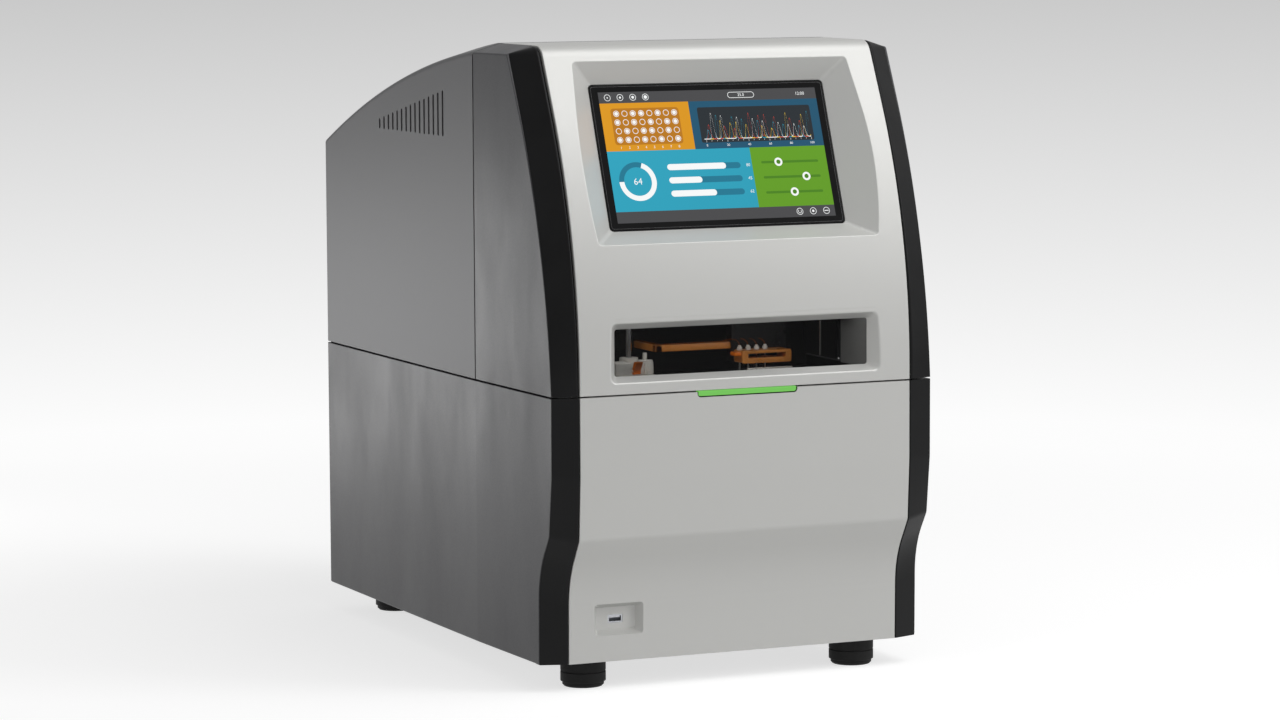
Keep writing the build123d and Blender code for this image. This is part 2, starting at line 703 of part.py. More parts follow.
def cover_section(x, inset, front, rear, drop):
    """The side view of the rear cover in the plane at x, drawn in by inset."""
    top = HEIGHT - inset - drop
    low = LOWER_TOP + SEAM_GAP if inset == 0 else SEAM_HEIGHT - 10
    arc_end = REAR_TOP - inset - drop
    arc_run = DEPTH - ARC_START
    chord = hypot(arc_run, REAR_DROP)
    crown_v = ARC_START + arc_run / 2 + ARC_BOW * REAR_DROP / chord
    crown_z = top - REAR_DROP / 2 + ARC_BOW * arc_run / chord
    with BuildSketch(Plane.YZ.offset(x)) as section:
        with BuildLine():
            Line(at(front, low), at(front, top))
            Line(at(front, top), at(ARC_START, top))
            ThreePointArc(at(ARC_START, top), at(crown_v, crown_z), at(rear, arc_end))
            Line(at(rear, arc_end), at(rear, low))
            Line(at(rear, low), at(front, low))
        make_face()
    return section.sketch


def cover_form(inset, front, rear):
    """The rear cover's form as a ruled body through four sections."""
    half = SIDE - inset
    return loft(
        sections=[
            cover_section(-half, inset, front, rear, SHOULDER_DROP).face(),
            cover_section(-SILVER_HALF, inset, front, rear, 0).face(),
            cover_section(SILVER_HALF, inset, front, rear, 0).face(),
            cover_section(half, inset, front, rear, SHOULDER_DROP).face(),
        ],
        ruled=True,
        mode=Mode.PRIVATE,
    )


def on_cover_rim(edge):
    """Whether an edge of the cover's form runs along a side's crown or round its rear."""
    mid = edge.center()
    at_side = abs(abs(mid.X) - SIDE) < 0.01
    at_rear = abs(mid.Y - FRONT - DEPTH) < 0.01
    crown = mid.Z > REAR_TOP - SHOULDER_DROP - 1 and edge.bounding_box().size.Y > 1
    rear_top = at_rear and mid.Z > REAR_TOP - SHOULDER_DROP - 1
    return at_side and crown or rear_top or at_side and at_rear


with BuildPart() as upper_rear_cover:
    add(cover_form(0, COVER_FRONT, DEPTH))
    outer_edges = [edge for edge in edges() if on_cover_rim(edge)]
    fillet(outer_edges, radius=COVER_ROUND)
    add(cover_form(WALL, COVER_FRONT + WALL, DEPTH + 2), mode=Mode.SUBTRACT)
    # the front opening leaves a lip all round
    with BuildSketch(Plane.XZ.offset(-(FRONT + COVER_FRONT - 1))):
        with BuildLine():
            Polyline(
                (SIDE - LIP, SEAM_HEIGHT - LIP),
                (SIDE - LIP, shoulder_height(SIDE) - LIP),
                (SILVER_HALF, HEIGHT - LIP),
                (-SILVER_HALF, HEIGHT - LIP),
                (LIP - SIDE, shoulder_height(SIDE) - LIP),
                (LIP - SIDE, SEAM_HEIGHT - LIP),
                close=True,
            )
        make_face()
    extrude(amount=-(WALL + 2), mode=Mode.SUBTRACT)
    vent_pitch = (VENT_LAST - VENT_FIRST) / (VENT_COUNT - 1)
    vent_step = (VENT_TALL - VENT_SHORT) / (VENT_COUNT - 1)
    with BuildSketch(Plane.YZ.offset(-SIDE - 1)):
        for slot in range(VENT_COUNT):
            tall = VENT_TALL - slot * vent_step
            with Locations(at(VENT_FIRST + slot * vent_pitch, VENT_BOTTOM + tall / 2)):
                SlotOverall(tall, VENT_WIDTH, rotation=90)
    extrude(amount=2 * SIDE + 2, mode=Mode.SUBTRACT)
save(upper_rear_cover, "upper_rear_cover")


# Door fittings

with BuildPart() as touch_glass:
    with BuildSketch(glass_plane):
        RectangleRounded(GLASS_WIDTH, GLASS_TALL, GLASS_CORNER)
    extrude(amount=-GLASS_THICKNESS)
save(touch_glass, "touch_glass")

with BuildPart() as display_module:
    with BuildSketch(glass_plane.offset(-GLASS_THICKNESS)):
        RectangleRounded(GLASS_WIDTH - 4, GLASS_TALL - 4, 3)
    extrude(amount=-7)
    with BuildSketch(glass_plane.offset(-GLASS_THICKNESS - 7)):
        RectangleRounded(GLASS_WIDTH - 44, GLASS_TALL - 34, 3)
    extrude(amount=-9)
save(display_module, "display_module")

with BuildPart() as window_pane:
    with BuildSketch(Plane.XZ.offset(-(FRONT + PANE_DEPTH))):
        with Locations((0, (PANE_LOW + PANE_HIGH) / 2)):
            RectangleRounded(PANE_WIDTH + 2 * PANE_SEAT, PANE_HIGH - PANE_LOW + 2 * PANE_SEAT, PANE_SEAT)
    extrude(amount=-PANE_THICKNESS)
save(window_pane, "window_pane")

# The liner closes the back of the door around the display
LINER_THICKNESS = 2.5
LINER_BACK = 34
LINER_HALF = SILVER_HALF - 10.8
LINER_GAP = 0.5
LINER_START = WINDOW_HIGH + 1
LINER_WALL_LOW = WINDOW_HIGH + 12
LINER_FOOT = WINDOW_HIGH + 30
LINER_HIGH = HEIGHT - 24
LINER_BEND = LINER_HIGH - 14


def liner_depth(z):
    """Depth of the liner's sloping back."""
    return behind_glass(z, LINER_BACK)


with BuildPart() as door_inner_liner:
    liner_front = PANE_DEPTH + PANE_THICKNESS + LINER_GAP
    with BuildSketch(Plane.YZ.offset(-LINER_HALF)):
        with BuildLine():
            Polyline(
                at(liner_front, LINER_START),
                at(liner_depth(LINER_FOOT), LINER_FOOT),
                at(liner_depth(LINER_BEND), LINER_BEND),
                at(liner_depth(LINER_HIGH) + 2, LINER_HIGH),
                at(liner_depth(LINER_HIGH) + 2 - LINER_THICKNESS, LINER_HIGH),
                at(liner_depth(LINER_BEND) - LINER_THICKNESS, LINER_BEND + 1),
                at(liner_depth(LINER_FOOT) - LINER_THICKNESS, LINER_FOOT + 1),
                at(liner_front, LINER_START + 3),
                close=True,
            )
        make_face()
    extrude(amount=2 * LINER_HALF)
    # end walls reach forward to the silver shell
    wall_gap = WALL / cos(radians(TOP_LEAN)) + LINER_GAP
    for end in (-LINER_HALF, LINER_HALF - LINER_THICKNESS):
        with BuildSketch(Plane.YZ.offset(end)):
            with BuildLine():
                curve_line(front_depth, wall_gap, [LINER_WALL_LOW, LEAN_START, LINER_HIGH])
                Polyline(
                    at(front_depth(LINER_HIGH) + wall_gap, LINER_HIGH),
                    at(liner_depth(LINER_HIGH), LINER_HIGH),
                    at(liner_depth(LINER_FOOT), LINER_FOOT),
                    at(front_depth(LINER_WALL_LOW) + wall_gap, LINER_WALL_LOW),
                )
            make_face()
        extrude(amount=LINER_THICKNESS)
save(door_inner_liner, "door_inner_liner")

# Hinge: hooked arms on the door turn on pins carried by brackets on the bulkhead


ARM_FOOT = (front_depth(HEIGHT) + 24.4, DOOR_REAR - 6.75)
FLANGE_REACH = 38
FLANGE_WIDTH = 14
FLANGE_THICKNESS = 5


def polar(radius, angle):
    """A side view point at a distance and angle from the hinge axis."""
    turn = radians(angle)
    return at(HINGE_DEPTH + radius * cos(turn), HINGE_HEIGHT + radius * sin(turn))


with BuildPart() as door_hinge_arms:
    for side in (-1, 1):
        with BuildSketch(Plane.YZ.offset(side * HINGE_X - ARM_WIDTH / 2)):
            # the hook passes under the front lip of the rear cover
            with BuildLine():
                ThreePointArc(polar(ARM_OUTER, 169), polar(ARM_OUTER, 225), polar(ARM_OUTER, 284))
                Line(polar(ARM_OUTER, 284), polar(HUB_RADIUS, 300))
                ThreePointArc(polar(HUB_RADIUS, 300), polar(HUB_RADIUS, 30), polar(HUB_RADIUS, 232))
                Line(polar(HUB_RADIUS, 232), polar(ARM_INNER, 262))
                ThreePointArc(polar(ARM_INNER, 262), polar(ARM_INNER, 215), polar(ARM_INNER, 172))
                Line(polar(ARM_INNER, 172), polar(ARM_OUTER, 169))
            make_face()
            with Locations(at(HINGE_DEPTH, HINGE_HEIGHT)):
                Circle(PIN_RADIUS + RUNNING, mode=Mode.SUBTRACT)
        extrude(amount=ARM_WIDTH)
        # the foot is screwed up under the silver top
        under_top = HEIGHT - WALL
        with BuildSketch(Plane.YZ.offset(side * HINGE_X - ARM_WIDTH / 2)):
            with BuildLine():
                Polyline(
                    at(ARM_FOOT[0], under_top),
                    at(ARM_FOOT[1], under_top),
                    polar(ARM_INNER + 2, 170),
                    polar(ARM_OUTER, 190),
                    at(ARM_FOOT[0] + FLANGE_REACH, under_top - 2 * ARM_WIDTH - 1),
                    at(ARM_FOOT[0], under_top - ARM_WIDTH + 1),
                    close=True,
                )
            make_face()
        extrude(amount=ARM_WIDTH)
        flange = (HINGE_X - FLANGE_WIDTH, HINGE_X)
        flange_x = flange if side > 0 else (-flange[1], -flange[0])
        flange_v = (ARM_FOOT[0], ARM_FOOT[0] + FLANGE_REACH)
        block(flange_x, flange_v, (under_top - FLANGE_THICKNESS, under_top))
save(door_hinge_arms, "door_hinge_arms")

BRACKET_EAR = 5
BRACKET_GAP = 0.4
BRACKET_Z = (BULKHEAD_TOP - 30, BULKHEAD_TOP - 3)
ARM_SPACE = ARM_WIDTH / 2 + BRACKET_GAP

with BuildPart() as door_hinge_brackets:
    for side in (-1, 1):
        for low in (HINGE_X - ARM_SPACE - BRACKET_EAR, HINGE_X + ARM_SPACE):
            start = low if side > 0 else -low - BRACKET_EAR
            with BuildSketch(Plane.YZ.offset(start)):
                with BuildLine():
                    Polyline(
                        at(HINGE_DEPTH - 6, HINGE_HEIGHT - 7),
                        at(HINGE_DEPTH + 3, HINGE_HEIGHT + HUB_RADIUS - 1),
                        at(BULKHEAD_DEPTH, BRACKET_Z[1]),
                        at(BULKHEAD_DEPTH, BRACKET_Z[0]),
                        at(BULKHEAD_DEPTH - 12, BRACKET_Z[0]),
                        close=True,
                    )
                make_face()
                with Locations(at(HINGE_DEPTH, HINGE_HEIGHT)):
                    Circle(HUB_RADIUS)
                    Circle(PIN_RADIUS, mode=Mode.SUBTRACT)
            extrude(amount=BRACKET_EAR)
        web = (HINGE_X - ARM_SPACE - BRACKET_EAR, HINGE_X + ARM_SPACE + BRACKET_EAR)
        web_x = web if side > 0 else (-web[1], -web[0])
        block(web_x, (BULKHEAD_DEPTH - BRACKET_EAR, BULKHEAD_DEPTH), BRACKET_Z)
save(door_hinge_brackets, "door_hinge_brackets")

with BuildPart() as door_hinge_pins:
    reach = ARM_SPACE + BRACKET_EAR
    for side in (-1, 1):
        middle = side * HINGE_X
        head = middle + side * reach
        axis_point = (HINGE_DEPTH, HINGE_HEIGHT)
        rod((middle - reach, *axis_point), (middle + reach, *axis_point), PIN_RADIUS)
        rod((head, *axis_point), (head + side * 2, *axis_point), PIN_RADIUS + 2)
save(door_hinge_pins, "door_hinge_pins")

# Lift struts, closed length from the low pivot to the high one
strut_run = (STRUT_HIGH[0] - STRUT_LOW[0], STRUT_HIGH[1] - STRUT_LOW[1])
strut_closed = hypot(*strut_run)
strut_way = (strut_run[0] / strut_closed, strut_run[1] / strut_closed)
STUD_RADIUS = 3.5
EYE_RADIUS = 7
EYE_WIDTH = 5
CYLINDER_LENGTH = 98


def along_strut(x, distance):
    """The point (x, depth, height) at a distance along the strut from its low pivot."""
    return (x, STRUT_LOW[0] + strut_way[0] * distance, STRUT_LOW[1] + strut_way[1] * distance)


def strut_cylinder(side):
    """A gas cylinder with its eye on the low stud, bored for the rod."""
    x = side * STRUT_X
    rod(along_strut(x, 16), along_strut(x, CYLINDER_LENGTH), STRUT_RADIUS)
    rod(along_strut(x, 5), along_strut(x, 17), EYE_WIDTH / 2 - 0.4)
    rod((x - EYE_WIDTH / 2, *STRUT_LOW), (x + EYE_WIDTH / 2, *STRUT_LOW), EYE_RADIUS)
    rod((x - 8, *STRUT_LOW), (x + 8, *STRUT_LOW), STUD_RADIUS + RUNNING, Mode.SUBTRACT)
    rod(along_strut(x, 18.5), along_strut(x, CYLINDER_LENGTH + 1), ROD_RADIUS + RUNNING, Mode.SUBTRACT)


def strut_rod(side):
    """The rod with its end eye, and the stud that carries the door."""
    x = side * STRUT_X
    rod(along_strut(x, 20), along_strut(x, strut_closed - 4), ROD_RADIUS)
    rod((x - EYE_WIDTH / 2, *STRUT_HIGH), (x + EYE_WIDTH / 2, *STRUT_HIGH), EYE_RADIUS)
    stud_end = x - side * (EYE_WIDTH / 2 + 2.8)
    rod((x, *STRUT_HIGH), (stud_end, *STRUT_HIGH), STUD_RADIUS)


with BuildPart() as strut_cylinder_right:
    strut_cylinder(1)
save(strut_cylinder_right, "strut_cylinder_right")

with BuildPart() as strut_cylinder_left:
    strut_cylinder(-1)
save(strut_cylinder_left, "strut_cylinder_left")

with BuildPart() as strut_rod_right:
    strut_rod(1)
save(strut_rod_right, "strut_rod_right")

with BuildPart() as strut_rod_left:
    strut_rod(-1)
save(strut_rod_left, "strut_rod_left")

with BuildPart() as strut_studs:
    for side in (-1, 1):
        inner = side * (STRUT_X - EYE_WIDTH / 2 - 1)
        rod((inner, *STRUT_LOW), (side * WING_X, *STRUT_LOW), STUD_RADIUS)
        rod((side * (STRUT_X + EYE_WIDTH / 2 + 0.4), *STRUT_LOW), (side * WING_X, *STRUT_LOW), EYE_RADIUS - 1)
save(strut_studs, "strut_studs")

ROOT_Z = (STRUT_HIGH[1] - 37.6, STRUT_HIGH[1] + 17.4)

with BuildPart() as strut_door_brackets:
    for side in (-1, 1):
        plate = (SILVER_HALF - GROOVE, SILVER_HALF - GROOVE + SHEET)
        with BuildSketch(Plane.YZ.offset(plate[0] if side > 0 else -plate[1])):
            with BuildLine():
                Polyline(
                    at(STRUT_HIGH[0] + EYE_RADIUS + 2, STRUT_HIGH[1] - EYE_RADIUS - 2),
                    at(STRUT_HIGH[0] + EYE_RADIUS + 2, STRUT_HIGH[1] + EYE_RADIUS + 2),
                    at(front_depth(ROOT_Z[1]) + STRIP_THICKNESS + 3, ROOT_Z[1]),
                    at(front_depth(ROOT_Z[0]) + STRIP_THICKNESS + 3, ROOT_Z[0]),
                    close=True,
                )
            make_face()
        extrude(amount=SHEET)
save(strut_door_brackets, "strut_door_brackets")

# Inside structure

with BuildPart() as compartment_bulkhead:
    bulkhead_x = (-WING_X - SHEET, WING_X + SHEET)
    bulkhead_v = (BULKHEAD_DEPTH, BULKHEAD_DEPTH + SHEET)
    block(bulkhead_x, bulkhead_v, (FOOT_HEIGHT + SHEET, BULKHEAD_TOP))
    for side in (-1, 1):
        wing = (WING_X, WING_X + SHEET) if side > 0 else (-WING_X - SHEET, -WING_X)
        block(wing, (COVER_FRONT + 6, BULKHEAD_DEPTH), (DECK_TOP + 12, BULKHEAD_TOP))
save(compartment_bulkhead, "compartment_bulkhead")

DECK_HALF = WING_X - 1

with BuildPart() as deck_plate:
    with BuildSketch(Plane.XY.offset(DECK_TOP - SHEET)):
        with Locations((0, FRONT + (DECK_FRONT + BULKHEAD_DEPTH) / 2)):
            Rectangle(2 * DECK_HALF, BULKHEAD_DEPTH - DECK_FRONT)
        bay_x = (DECK_BAY_X[0] + DECK_BAY_X[1]) / 2
        bay_v = (DECK_BAY_DEPTH[0] + DECK_BAY_DEPTH[1]) / 2
        with Locations((bay_x, FRONT + bay_v)):
            bay_width = DECK_BAY_X[1] - DECK_BAY_X[0]
            RectangleRounded(bay_width, DECK_BAY_DEPTH[1] - DECK_BAY_DEPTH[0], 6, mode=Mode.SUBTRACT)
    extrude(amount=SHEET)
    # folded edges at both sides
    for side in (-1, 1):
        fold = (DECK_HALF - SHEET, DECK_HALF) if side > 0 else (-DECK_HALF, SHEET - DECK_HALF)
        block(fold, (DECK_FRONT, BULKHEAD_DEPTH), (DECK_TOP - DECK_FOLD, DECK_TOP - SHEET))
save(deck_plate, "deck_plate")

with BuildPart() as rear_panel:
    with BuildSketch(Plane.XZ.offset(-(FRONT + REAR_INNER))):
        panel_top = REAR_TOP - WALL - 2
        panel_half = SIDE - WALL - 0.5
        with BuildLine():
            Polyline(
                (-panel_half, FOOT_HEIGHT + SHEET),
                (panel_half, FOOT_HEIGHT + SHEET),
                (panel_half, panel_top - SHOULDER_DROP + 1),
                (SILVER_HALF, panel_top),
                (-SILVER_HALF, panel_top),
                (-panel_half, panel_top - SHOULDER_DROP + 1),
                close=True,
            )
        make_face()
        with Locations((FAN_X, FAN_HEIGHT)):
            Circle(FAN_BORE, mode=Mode.SUBTRACT)
        with Locations((INLET_X, INLET_HEIGHT)):
            Rectangle(28, 56, mode=Mode.SUBTRACT)
        with Locations((LAN_X, LAN_HEIGHT)):
            Rectangle(62, 18, mode=Mode.SUBTRACT)
        # outlet louvres of the power supply
        with Locations((-90, 330)):
            with GridLocations(0, 11, 1, 9):
                SlotOverall(90, 5, mode=Mode.SUBTRACT)
    extrude(amount=SHEET)
save(rear_panel, "rear_panel")

fan_rear = REAR_INNER - SHEET
with BuildPart() as rear_fan_frame:
    with BuildSketch(Plane.XZ.offset(-(FRONT + fan_rear))):
        with Locations((FAN_X, FAN_HEIGHT)):
            RectangleRounded(FAN_SIZE, FAN_SIZE, 7)
            Circle(FAN_BORE, mode=Mode.SUBTRACT)
            with GridLocations(105, 105, 2, 2):
                Circle(2.2, mode=Mode.SUBTRACT)
    extrude(amount=FAN_DEPTH)
    # spider that carries the motor
    spider_v = fan_rear - FAN_DEPTH
    with BuildSketch(Plane.XZ.offset(-(FRONT + spider_v))):
        with Locations((FAN_X, FAN_HEIGHT)):
            Circle(FAN_HUB)
            with PolarLocations(0, 2):
                Rectangle(2 * FAN_BORE + 2, 6)
                Rectangle(6, 2 * FAN_BORE + 2)
    extrude(amount=-3)
    rod((FAN_X, spider_v + 2, FAN_HEIGHT), (FAN_X, fan_rear - 6, FAN_HEIGHT), 3)
save(rear_fan_frame, "rear_fan_frame")

with BuildPart() as fan_rotor:
    with BuildSketch(Plane.XZ.offset(-(FRONT + fan_rear - 4))):
        with Locations((FAN_X, FAN_HEIGHT)):
            Circle(FAN_HUB)
    extrude(amount=17)
    rod((FAN_X, fan_rear - 30, FAN_HEIGHT), (FAN_X, fan_rear - 5, FAN_HEIGHT), 3 + RUNNING, Mode.SUBTRACT)
    # pitched blades
    blade_mid = (FAN_HUB + FAN_BORE) / 2
    with Locations(Location((FAN_X, FRONT + fan_rear - 12.5, FAN_HEIGHT), (90, 0, 0))):
        with PolarLocations(0, FAN_BLADES):
            with Locations(Location((blade_mid - 1.5, 0, 0), (35, 0, 0))):
                Box(FAN_BORE - FAN_HUB, 21, 1.6)
save(fan_rotor, "fan_rotor")

with BuildPart() as rear_fan_guard:
    guard_v = REAR_INNER
    for ring in (16, 28, 40, 52):
        with BuildSketch(Plane.XZ.offset(-(FRONT + guard_v + 2))):
            with Locations((FAN_X, FAN_HEIGHT)):
                Circle(ring + 1)
                Circle(ring - 1, mode=Mode.SUBTRACT)
        extrude(amount=2)
    with BuildSketch(Plane.XZ.offset(-(FRONT + guard_v + 2))):
        with Locations((FAN_X, FAN_HEIGHT)):
            for turn in (45, 135):
                with Locations(Location((0, 0, 0), (0, 0, turn))):
                    Rectangle(2 * 74, 2.4)
            Circle(15, mode=Mode.SUBTRACT)
            with GridLocations(105, 105, 2, 2):
                Circle(4.5)
    extrude(amount=2)
save(rear_fan_guard, "rear_fan_guard")

with BuildPart() as mains_inlet:
    # flange, body and the connector's cavity with three blades; the switch sits above
    with BuildSketch(Plane.XZ.offset(-(FRONT + DEPTH - 0.6))):
        with Locations((INLET_X, INLET_HEIGHT)):
            RectangleRounded(32, 62, 2)
    extrude(amount=DEPTH - 0.6 - REAR_INNER)
    with BuildSketch(Plane.XZ.offset(-(FRONT + REAR_INNER))):
        with Locations((INLET_X, INLET_HEIGHT)):
            Rectangle(28, 56)
    extrude(amount=28)
    cavity = (INLET_X, INLET_HEIGHT - 13)
    with BuildSketch(Plane.XZ.offset(-(FRONT + DEPTH))):
        with Locations(cavity):
            Rectangle(24, 16)
            chamfer(vertices().group_by(Axis.Y)[-1], length=4)
    extrude(amount=18, mode=Mode.SUBTRACT)
    for pin_x, pin_z in ((-7, -2), (7, -2), (0, 2)):
        block(
            (cavity[0] + pin_x - 1, cavity[0] + pin_x + 1),
            (DEPTH - 20, DEPTH - 3),
            (cavity[1] + pin_z - 2, cavity[1] + pin_z + 2),
        )
    switch_hole = (INLET_HEIGHT + 7, INLET_HEIGHT + 23)
    block((INLET_X - 10, INLET_X + 10), (DEPTH - 14, DEPTH + 1), switch_hole, Mode.SUBTRACT)
save(mains_inlet, "mains_inlet")

ROCKER_HEIGHT = INLET_HEIGHT + 15
with BuildPart() as power_rocker:
    with BuildSketch(Plane.YZ.offset(INLET_X - 9.5)):
        with BuildLine():
            Polyline(
                at(DEPTH - 1.9, ROCKER_HEIGHT - 6.2),
                at(DEPTH - 3.4, ROCKER_HEIGHT),
                at(DEPTH - 4.2, ROCKER_HEIGHT + 6.2),
                at(DEPTH - 8, ROCKER_HEIGHT + 4.5),
                at(DEPTH - 9, ROCKER_HEIGHT),
                at(DEPTH - 8, ROCKER_HEIGHT - 4.5),
                close=True,
            )
        make_face()
    extrude(amount=19)
save(power_rocker, "power_rocker")

with BuildPart() as network_sockets:
    with BuildSketch(Plane.XZ.offset(-(FRONT + DEPTH - 1))):
        with Locations((LAN_X, LAN_HEIGHT)):
            RectangleRounded(68, 24, 2)
    extrude(amount=DEPTH - 1 - REAR_INNER)
    block((LAN_X - 31, LAN_X + 31), (REAR_INNER - 16, REAR_INNER), (LAN_HEIGHT - 9, LAN_HEIGHT + 9))
    # one network jack and two data sockets
    block((LAN_X - 28, LAN_X - 16), (DEPTH - 13, DEPTH + 1), (LAN_HEIGHT - 4, LAN_HEIGHT + 4), Mode.SUBTRACT)
    for usb_x in (LAN_X - 5, LAN_X + 14):
        mouth = (LAN_HEIGHT - 2.5, LAN_HEIGHT + 2.5)
        block((usb_x, usb_x + 12.5), (DEPTH - 13, DEPTH + 1), mouth, Mode.SUBTRACT)
        block((usb_x + 0.7, usb_x + 11.8), (DEPTH - 14, DEPTH - 4), (LAN_HEIGHT, LAN_HEIGHT + 1.8))
save(network_sockets, "network_sockets")


# Sampler: a frame with rails, then the cross, fore-and-aft and lift stages
RAIL_Z = 130
FRAME_TOP = RAIL_Z - 17
FRAME_X = (-100, 168)
FRAME_V = (44, 230)
END_BLOCK = 10
RAIL_FRONT = 75
RAIL_REAR = 200
SCREW_V = 137
SCREW_RADIUS = 3
STAGE_X = (HEADER_X - 50, HEADER_X + 50)
STAGE_V = (62, 212)
BEARING_LENGTH = 26
BEARING_HALF = 10
CROSS_TOP = RAIL_Z + 11
SLIDE_Z = CROSS_TOP + 12
SLIDE_LEFT = HEADER_X - 28
SLIDE_RIGHT = HEADER_X + 28
SLIDE_V = (60, 214)
SLIDE_BLOCK = 8
SLIDE_BLOCK_HALF = 7
FORE_V = (90, 150)
FORE_TOP = SLIDE_Z + 11
POST_LEFT = HEADER_X - 18
POST_RIGHT = HEADER_X + 18
POST_TOP = FORE_TOP + 62
LIFT_Z = (FORE_TOP + 29, FORE_TOP + 49)
TRAY_X = (HEADER_X - 58, HEADER_X + 58)
TRAY_V = (HEADER_DEPTH - 72, HEADER_DEPTH + 14)
TRAY_BASE = TRAY_TOP - 23
TRAY_FLOOR = TRAY_BASE + 4
TRAY_TALL = 15

with BuildPart() as sampler_frame:
    with BuildSketch(Plane.XZ.offset(-(FRONT + FRAME_V[0]))):
        with BuildLine():
            Polyline(
                (FRAME_X[0] - 12, FOOT_HEIGHT + SHEET),
                (FRAME_X[0] - 12, FOOT_HEIGHT + 2 * SHEET),
                (FRAME_X[0], FOOT_HEIGHT + 2 * SHEET),
                (FRAME_X[0], FRAME_TOP),
                (FRAME_X[1], FRAME_TOP),
                (FRAME_X[1], FOOT_HEIGHT + SHEET),
                (FRAME_X[1] - SHEET, FOOT_HEIGHT + SHEET),
                (FRAME_X[1] - SHEET, FRAME_TOP - SHEET),
                (FRAME_X[0] + SHEET, FRAME_TOP - SHEET),
                (FRAME_X[0] + SHEET, FOOT_HEIGHT + SHEET),
                close=True,
            )
        make_face()
    extrude(amount=-(FRAME_V[1] - FRAME_V[0]))
    # end blocks for the rails
    for end in ((FRAME_X[0], FRAME_X[0] + END_BLOCK), (FRAME_X[1] - END_BLOCK, FRAME_X[1])):
        for rail_v in (RAIL_FRONT, RAIL_REAR, SCREW_V):
            block(end, (rail_v - 9, rail_v + 9), (FRAME_TOP, RAIL_Z + 9))
    for rail_v in (RAIL_FRONT, RAIL_REAR):
        rod((FRAME_X[0], rail_v, RAIL_Z), (FRAME_X[1], rail_v, RAIL_Z), RAIL_RADIUS, Mode.SUBTRACT)
    rod((FRAME_X[0], SCREW_V, RAIL_Z), (FRAME_X[1], SCREW_V, RAIL_Z), SCREW_RADIUS, Mode.SUBTRACT)
save(sampler_frame, "sampler_frame")

with BuildPart() as sampler_rails:
    for rail_v in (RAIL_FRONT, RAIL_REAR):
        rod((FRAME_X[0], rail_v, RAIL_Z), (FRAME_X[1], rail_v, RAIL_Z), RAIL_RADIUS)
    rod((FRAME_X[0], SCREW_V, RAIL_Z), (FRAME_X[1], SCREW_V, RAIL_Z), SCREW_RADIUS)
save(sampler_rails, "sampler_rails")

SLIDES = (SLIDE_LEFT, (SLIDE_LEFT + SLIDE_RIGHT) / 2, SLIDE_RIGHT)
MOTOR_HALF = 21
STAGE_PAST = 12

with BuildPart() as sampler_cross_stage:
    block(STAGE_X, STAGE_V, (CROSS_TOP - 4, CROSS_TOP))
    for rail_v in (RAIL_FRONT, RAIL_REAR):
        bearing_v = (rail_v - BEARING_HALF, rail_v + BEARING_HALF)
        for end in (
            (STAGE_X[0], STAGE_X[0] + BEARING_LENGTH),
            (STAGE_X[1] - BEARING_LENGTH, STAGE_X[1]),
        ):
            block(end, bearing_v, (RAIL_Z - BEARING_HALF, CROSS_TOP))
    # the drive motor rides on its screw
    motor_v = (SCREW_V - MOTOR_HALF, SCREW_V + MOTOR_HALF)
    block((HEADER_X - 22, HEADER_X + 22), motor_v, (RAIL_Z - 14, CROSS_TOP - 2))
    # end blocks for the upper slides
    for slide_x in SLIDES:
        block_x = (slide_x - SLIDE_BLOCK_HALF, slide_x + SLIDE_BLOCK_HALF)
        for end in (
            (SLIDE_V[0], SLIDE_V[0] + SLIDE_BLOCK),
            (SLIDE_V[1] - SLIDE_BLOCK, SLIDE_V[1]),
        ):
            block(block_x, end, (CROSS_TOP - 4, SLIDE_Z + SLIDE_BLOCK_HALF))
    for slide_x in SLIDES:
        slide_end = (slide_x, SLIDE_V[1] - SLIDE_BLOCK / 2, SLIDE_Z)
        rod((slide_x, SLIDE_V[0] + SLIDE_BLOCK / 2, SLIDE_Z), slide_end, SLIDE_RADIUS)
    past = (STAGE_X[0] - STAGE_PAST, STAGE_X[1] + STAGE_PAST)
    for rail_v in (RAIL_FRONT, RAIL_REAR):
        bore_end = (past[1], rail_v, RAIL_Z)
        rod((past[0], rail_v, RAIL_Z), bore_end, RAIL_RADIUS + RUNNING, Mode.SUBTRACT)
    bore_end = (past[1], SCREW_V, RAIL_Z)
    rod((past[0], SCREW_V, RAIL_Z), bore_end, SCREW_RADIUS + RUNNING, Mode.SUBTRACT)
save(sampler_cross_stage, "sampler_cross_stage")

with BuildPart() as sampler_fore_stage:
    block((HEADER_X - 38, HEADER_X + 38), FORE_V, (SLIDE_Z - 7, FORE_TOP))
    for slide_x in SLIDES:
        front_end = (slide_x, FORE_V[0] - 1, SLIDE_Z)
        rod(front_end, (slide_x, FORE_V[1] + 1, SLIDE_Z), SLIDE_RADIUS + RUNNING, Mode.SUBTRACT)
    for post_x in (POST_LEFT, POST_RIGHT):
        rod((post_x, HEADER_DEPTH, FORE_TOP), (post_x, HEADER_DEPTH, POST_TOP), SLIDE_RADIUS)
    # the lift motor's seat between the posts
    seat_v = (HEADER_DEPTH - 10, HEADER_DEPTH + 10)
    block((HEADER_X - 10, HEADER_X + 10), seat_v, (FORE_TOP, FORE_TOP + 3))
save(sampler_fore_stage, "sampler_fore_stage")

LIFT_HALF = 28
CHEEK = 5

